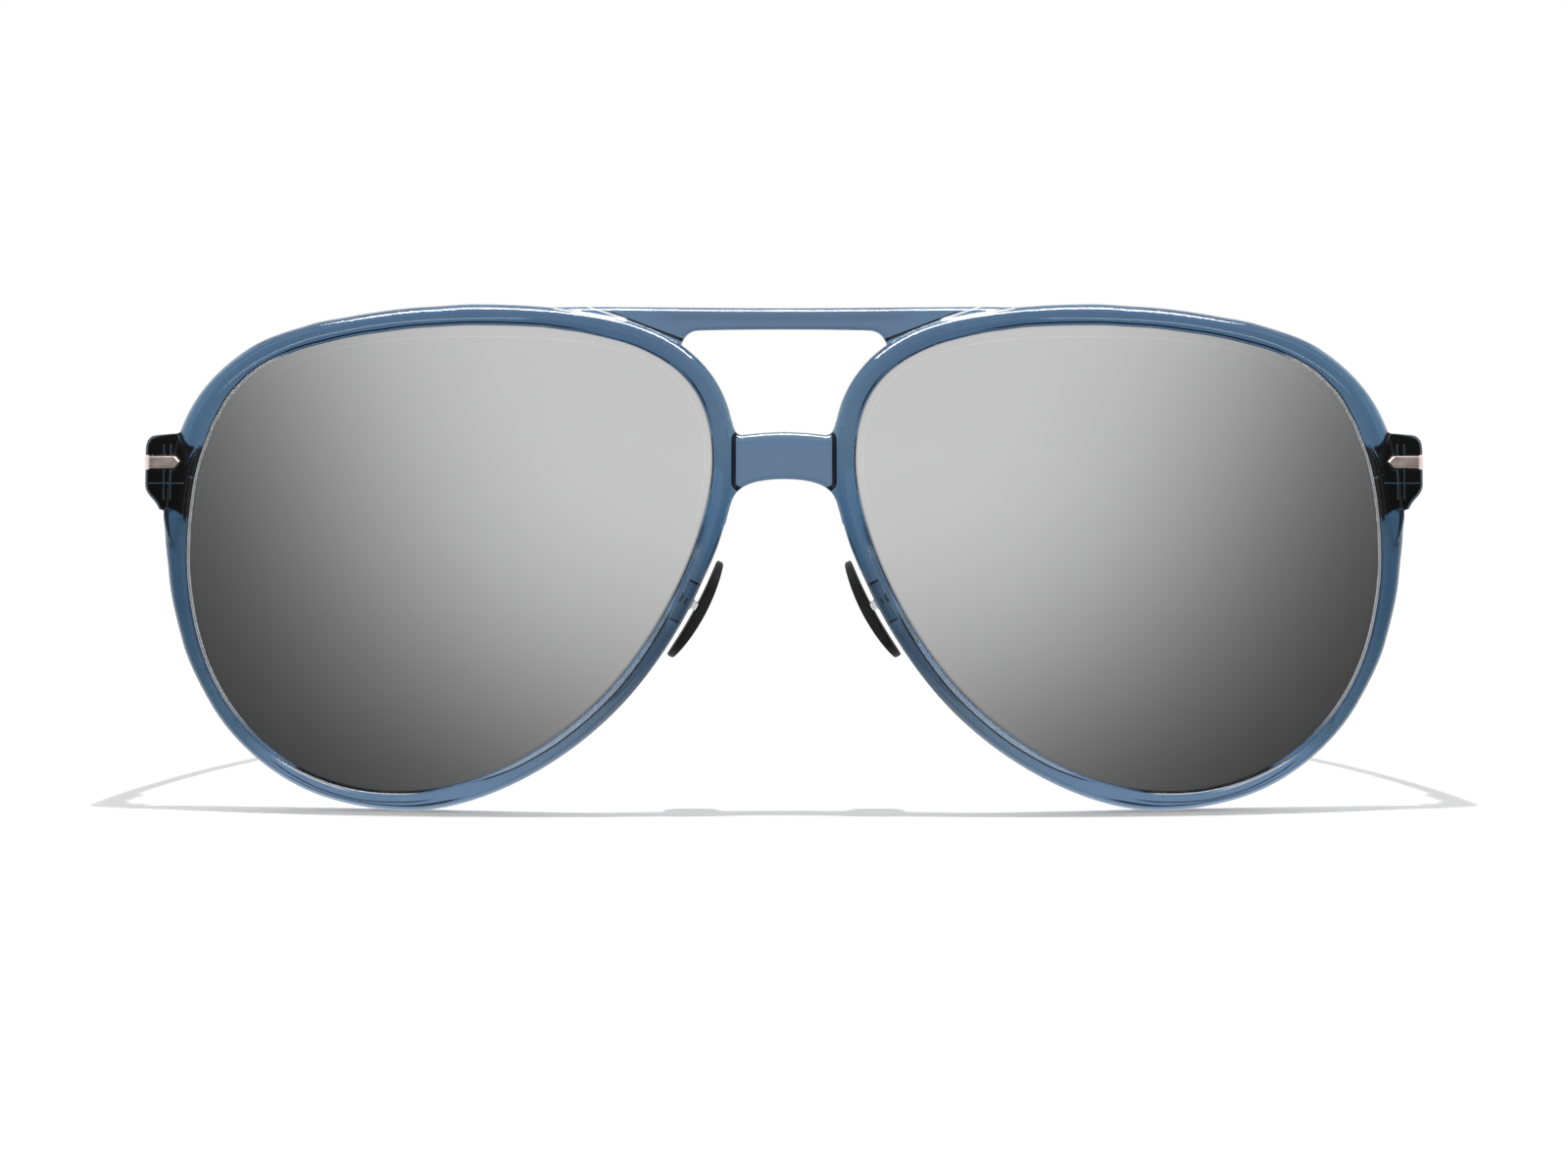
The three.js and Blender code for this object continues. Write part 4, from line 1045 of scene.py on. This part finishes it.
def blade(name, sign, ends, thickness, edge, caps, count, relief=None):
    """A flat bar with rounded edges and ends along the temple's line."""
    along = CENTRE_LINE[:, 0]
    spine, at = spaced(CENTRE_LINE[(along >= ends[0]) & (along <= ends[1])], count)
    tangent = np.gradient(spine, axis=0)
    tangent /= np.linalg.norm(tangent, axis=1, keepdims=True)
    quarter = np.linspace(0, math.pi / 2, 7)
    section = [
        (side, top, math.cos(a), math.sin(a)) for side, top in ((1, 1), (-1, 1), (-1, -1), (1, -1))
        for a in (quarter if side == top else quarter[::-1])]
    points = []
    for (y, z), (run_y, run_z), so_far in zip(spine, tangent, at):
        half = smooth_steps(HALF_HEIGHTS, y)
        squeeze = max(taken_off(so_far, caps[0]), taken_off(at[-1] - so_far, caps[1]))
        thick = max(thickness / 2 - squeeze, SLIVER)
        tall = max(half - squeeze, SLIVER)
        wave = relief(so_far) if relief else 0.0
        middle = LUG_OUTER - ARM_THICKNESS / 2 - toe_in(y)
        for side, top, out, up in section:
            across = side * (thick * (1 - edge * (1 - out) / (thickness / 2)) - wave * out)
            rise = top * (tall * (1 - edge * (1 - up) / half) - wave * up * RIB_EDGE_SHARE)
            points.append(((middle + across) * sign, y - run_z * rise, z + run_y * rise))
    n, rings = len(section), len(spine)
    faces = []
    for k in range(rings - 1):
        for i in range(n):
            j = (i + 1) % n
            faces.append((k * n + i, k * n + j, (k + 1) * n + j, (k + 1) * n + i))
    faces.append(tuple(range(n))[::-1])
    faces.append(tuple((rings - 1) * n + i for i in range(n)))
    return make(name, points, [face[::-1] for face in faces] if sign > 0 else faces)


for suffix, sign in SIDES:
    body = f"temple_{suffix}"
    arm = blade(f"brushed_arm_{suffix}", sign, (TEMPLE_START, ARM_END), ARM_THICKNESS, ARM_EDGE,
                ARM_CAPS, ARM_RINGS)
    dress(arm, body, "alloy", BRUSHED, replaces=[f"temple_arm_{suffix}"])
    sleeve = blade(f"grip_sleeve_{suffix}", sign, (SLEEVE_START, TEMPLE_LINE[-1][0]), SLEEVE_THICKNESS,
                   SLEEVE_EDGE, SLEEVE_CAPS, SLEEVE_RINGS, rib)
    dress(sleeve, body, "elastomer", SLEEVE_RUBBER, replaces=[f"temple_sleeve_{suffix}"])

for suffix, _ in SIDES:
    for node in ("hinge_plate", "plate_screw_lower", "plate_screw_upper", "hinge_pin",
                 "temple_leaf", "leaf_rivet_front", "leaf_rivet_rear"):
        obj = frame["nodes"][f"{node}_{suffix}"]
        obj.data.materials.clear()
        obj.data.materials.append(BLACK_METAL)

# ---------- studio ----------
# Millimetres: the camera's place, how far its aim drops by the front, and the width it sees there.
CAMERA_DISTANCE, CAMERA_HEIGHT, CAMERA_DROP, VIEW_WIDTH, SENSOR = 447.0, 38.0, 12.512, 174.08, 36.0
# Metres and watts: a small lamp over the hinges and a long strip up in front.
LAMP_PLACE, LAMP_SIZE, LAMP_WATTS = (0.0, (SHIFT_Y + 18) * MM, 0.48), 0.014, 1.3
STRIP_PLACE, STRIP_SIZE, STRIP_WATTS, STRIP_TILT = (0, (SHIFT_Y - 60) * MM, 0.45), (0.6, 0.2), 8.0, -10
FLOOR_HALF, FLOOR_GLOW, LAMP_SHARE = 6.0, 0.6, 0.45
# How the glow in front fades: factors of powers of x squared and z of the direction.
GLOW = [(-0.901, 0, 1), (1.561, 0, 2), (1.846, 1, 0), (-1.316, 1, 1), (0.196, 2, 0)]
GLOW_START, GLOW_LOW, GLOW_HIGH, GLOW_SIDE = 0.4192, -0.65, 0.75, (-0.1, 0.3)


def camera():
    data = bpy.data.cameras.new("camera")
    data.sensor_width = SENSOR
    data.lens = SENSOR * CAMERA_DISTANCE / VIEW_WIDTH
    data.clip_start = 0.01
    obj = placed("camera", data)
    obj.location = (0, (SHIFT_Y - CAMERA_DISTANCE) * MM, CAMERA_HEIGHT * MM)
    obj.rotation_euler = (math.radians(90) - math.atan(CAMERA_DROP / CAMERA_DISTANCE), 0, 0)
    bpy.context.scene.camera = obj


def floor():
    """White all over: what it glows by itself makes up for the lamp's light where that falls away."""
    mesh = bpy.data.meshes.new("floor")
    corners = [(x * FLOOR_HALF, y * FLOOR_HALF, 0) for x, y in ((-1, -1), (1, -1), (1, 1), (-1, 1))]
    mesh.from_pydata(corners, [], [(0, 1, 2, 3)])
    obj = placed("floor", mesh)
    n = Nodes("pale_floor")
    speck = n.noise(n.place(), 0.02, 2.0)
    under_lamp = {0: n.place(1.0), 1: (LAMP_PLACE[0], LAMP_PLACE[1], 0.0)}
    away = n.add("ShaderNodeVectorMath", under_lamp, operation="DISTANCE").outputs["Value"]
    ratio = n.calc("DIVIDE", away, LAMP_PLACE[2])
    share = n.calc("POWER", n.calc("MULTIPLY_ADD", ratio, ratio, 1.0), -2.0)
    n.set(Base_Color=n.ramp(speck, [(0.3, (0.8,) * 3), (0.7, (0.83,) * 3)]), Roughness=0.9,
          Specular_IOR_Level=0.0, Emission_Color=(1, 1, 1, 1),
          Emission_Strength=n.calc("MULTIPLY_ADD", share, -LAMP_SHARE, FLOOR_GLOW))
    mesh.materials.append(n.material)
    obj.visible_glossy = False


def area_light(name, place, watts, tilt=0):
    data = bpy.data.lights.new(name, "AREA")
    data.energy = watts
    obj = placed(name, data)
    obj.location = place
    obj.rotation_euler = (math.radians(tilt), 0, 0)
    return obj


def overhead():
    """A small soft light over the hinges, for the crisp shadows on the table."""
    light = area_light("overhead", LAMP_PLACE, LAMP_WATTS)
    light.data.shape = "DISK"
    light.data.size = LAMP_SIZE
    light.visible_glossy = False


def strip():
    """A long soft strip up in front, which only gleams along the upper edges."""
    light = area_light("strip", STRIP_PLACE, STRIP_WATTS, STRIP_TILT)
    light.data.shape = "RECTANGLE"
    light.data.size, light.data.size_y = STRIP_SIZE
    light.visible_diffuse = False
    light.visible_transmission = False


def world():
    """Bright above and in front, falling away to the sides and below, white behind and to the camera."""
    scene_world = bpy.data.worlds.new("studio")
    bpy.context.scene.world = scene_world
    n = Tree(scene_world)
    direction = n.add("ShaderNodeTexCoord").outputs["Generated"]
    x, y, z = n.add("ShaderNodeSeparateXYZ", {0: direction}).outputs
    height = n.calc("MINIMUM", n.calc("MAXIMUM", z, GLOW_LOW), GLOW_HIGH)
    fall = n.powers(GLOW_START, GLOW, n.calc("MULTIPLY", x, x), height)
    glow = n.calc("EXPONENT", n.calc("MULTIPLY", fall, -1.0))
    rays = n.add("ShaderNodeLightPath").outputs["Is Camera Ray"]
    for white in (n.above(y, *GLOW_SIDE), rays):
        glow = n.add("ShaderNodeMix", {0: white, 2: glow, 3: 1.0}).outputs[0]
    background = n.add("ShaderNodeBackground", {"Color": (1, 1, 1, 1), "Strength": glow})
    n.add("ShaderNodeOutputWorld", {"Surface": background.outputs[0]})


camera()
floor()
world()
overhead()
strip()
scene = bpy.context.scene
scene.view_settings.view_transform = "Standard"
scene.view_settings.look = "None"
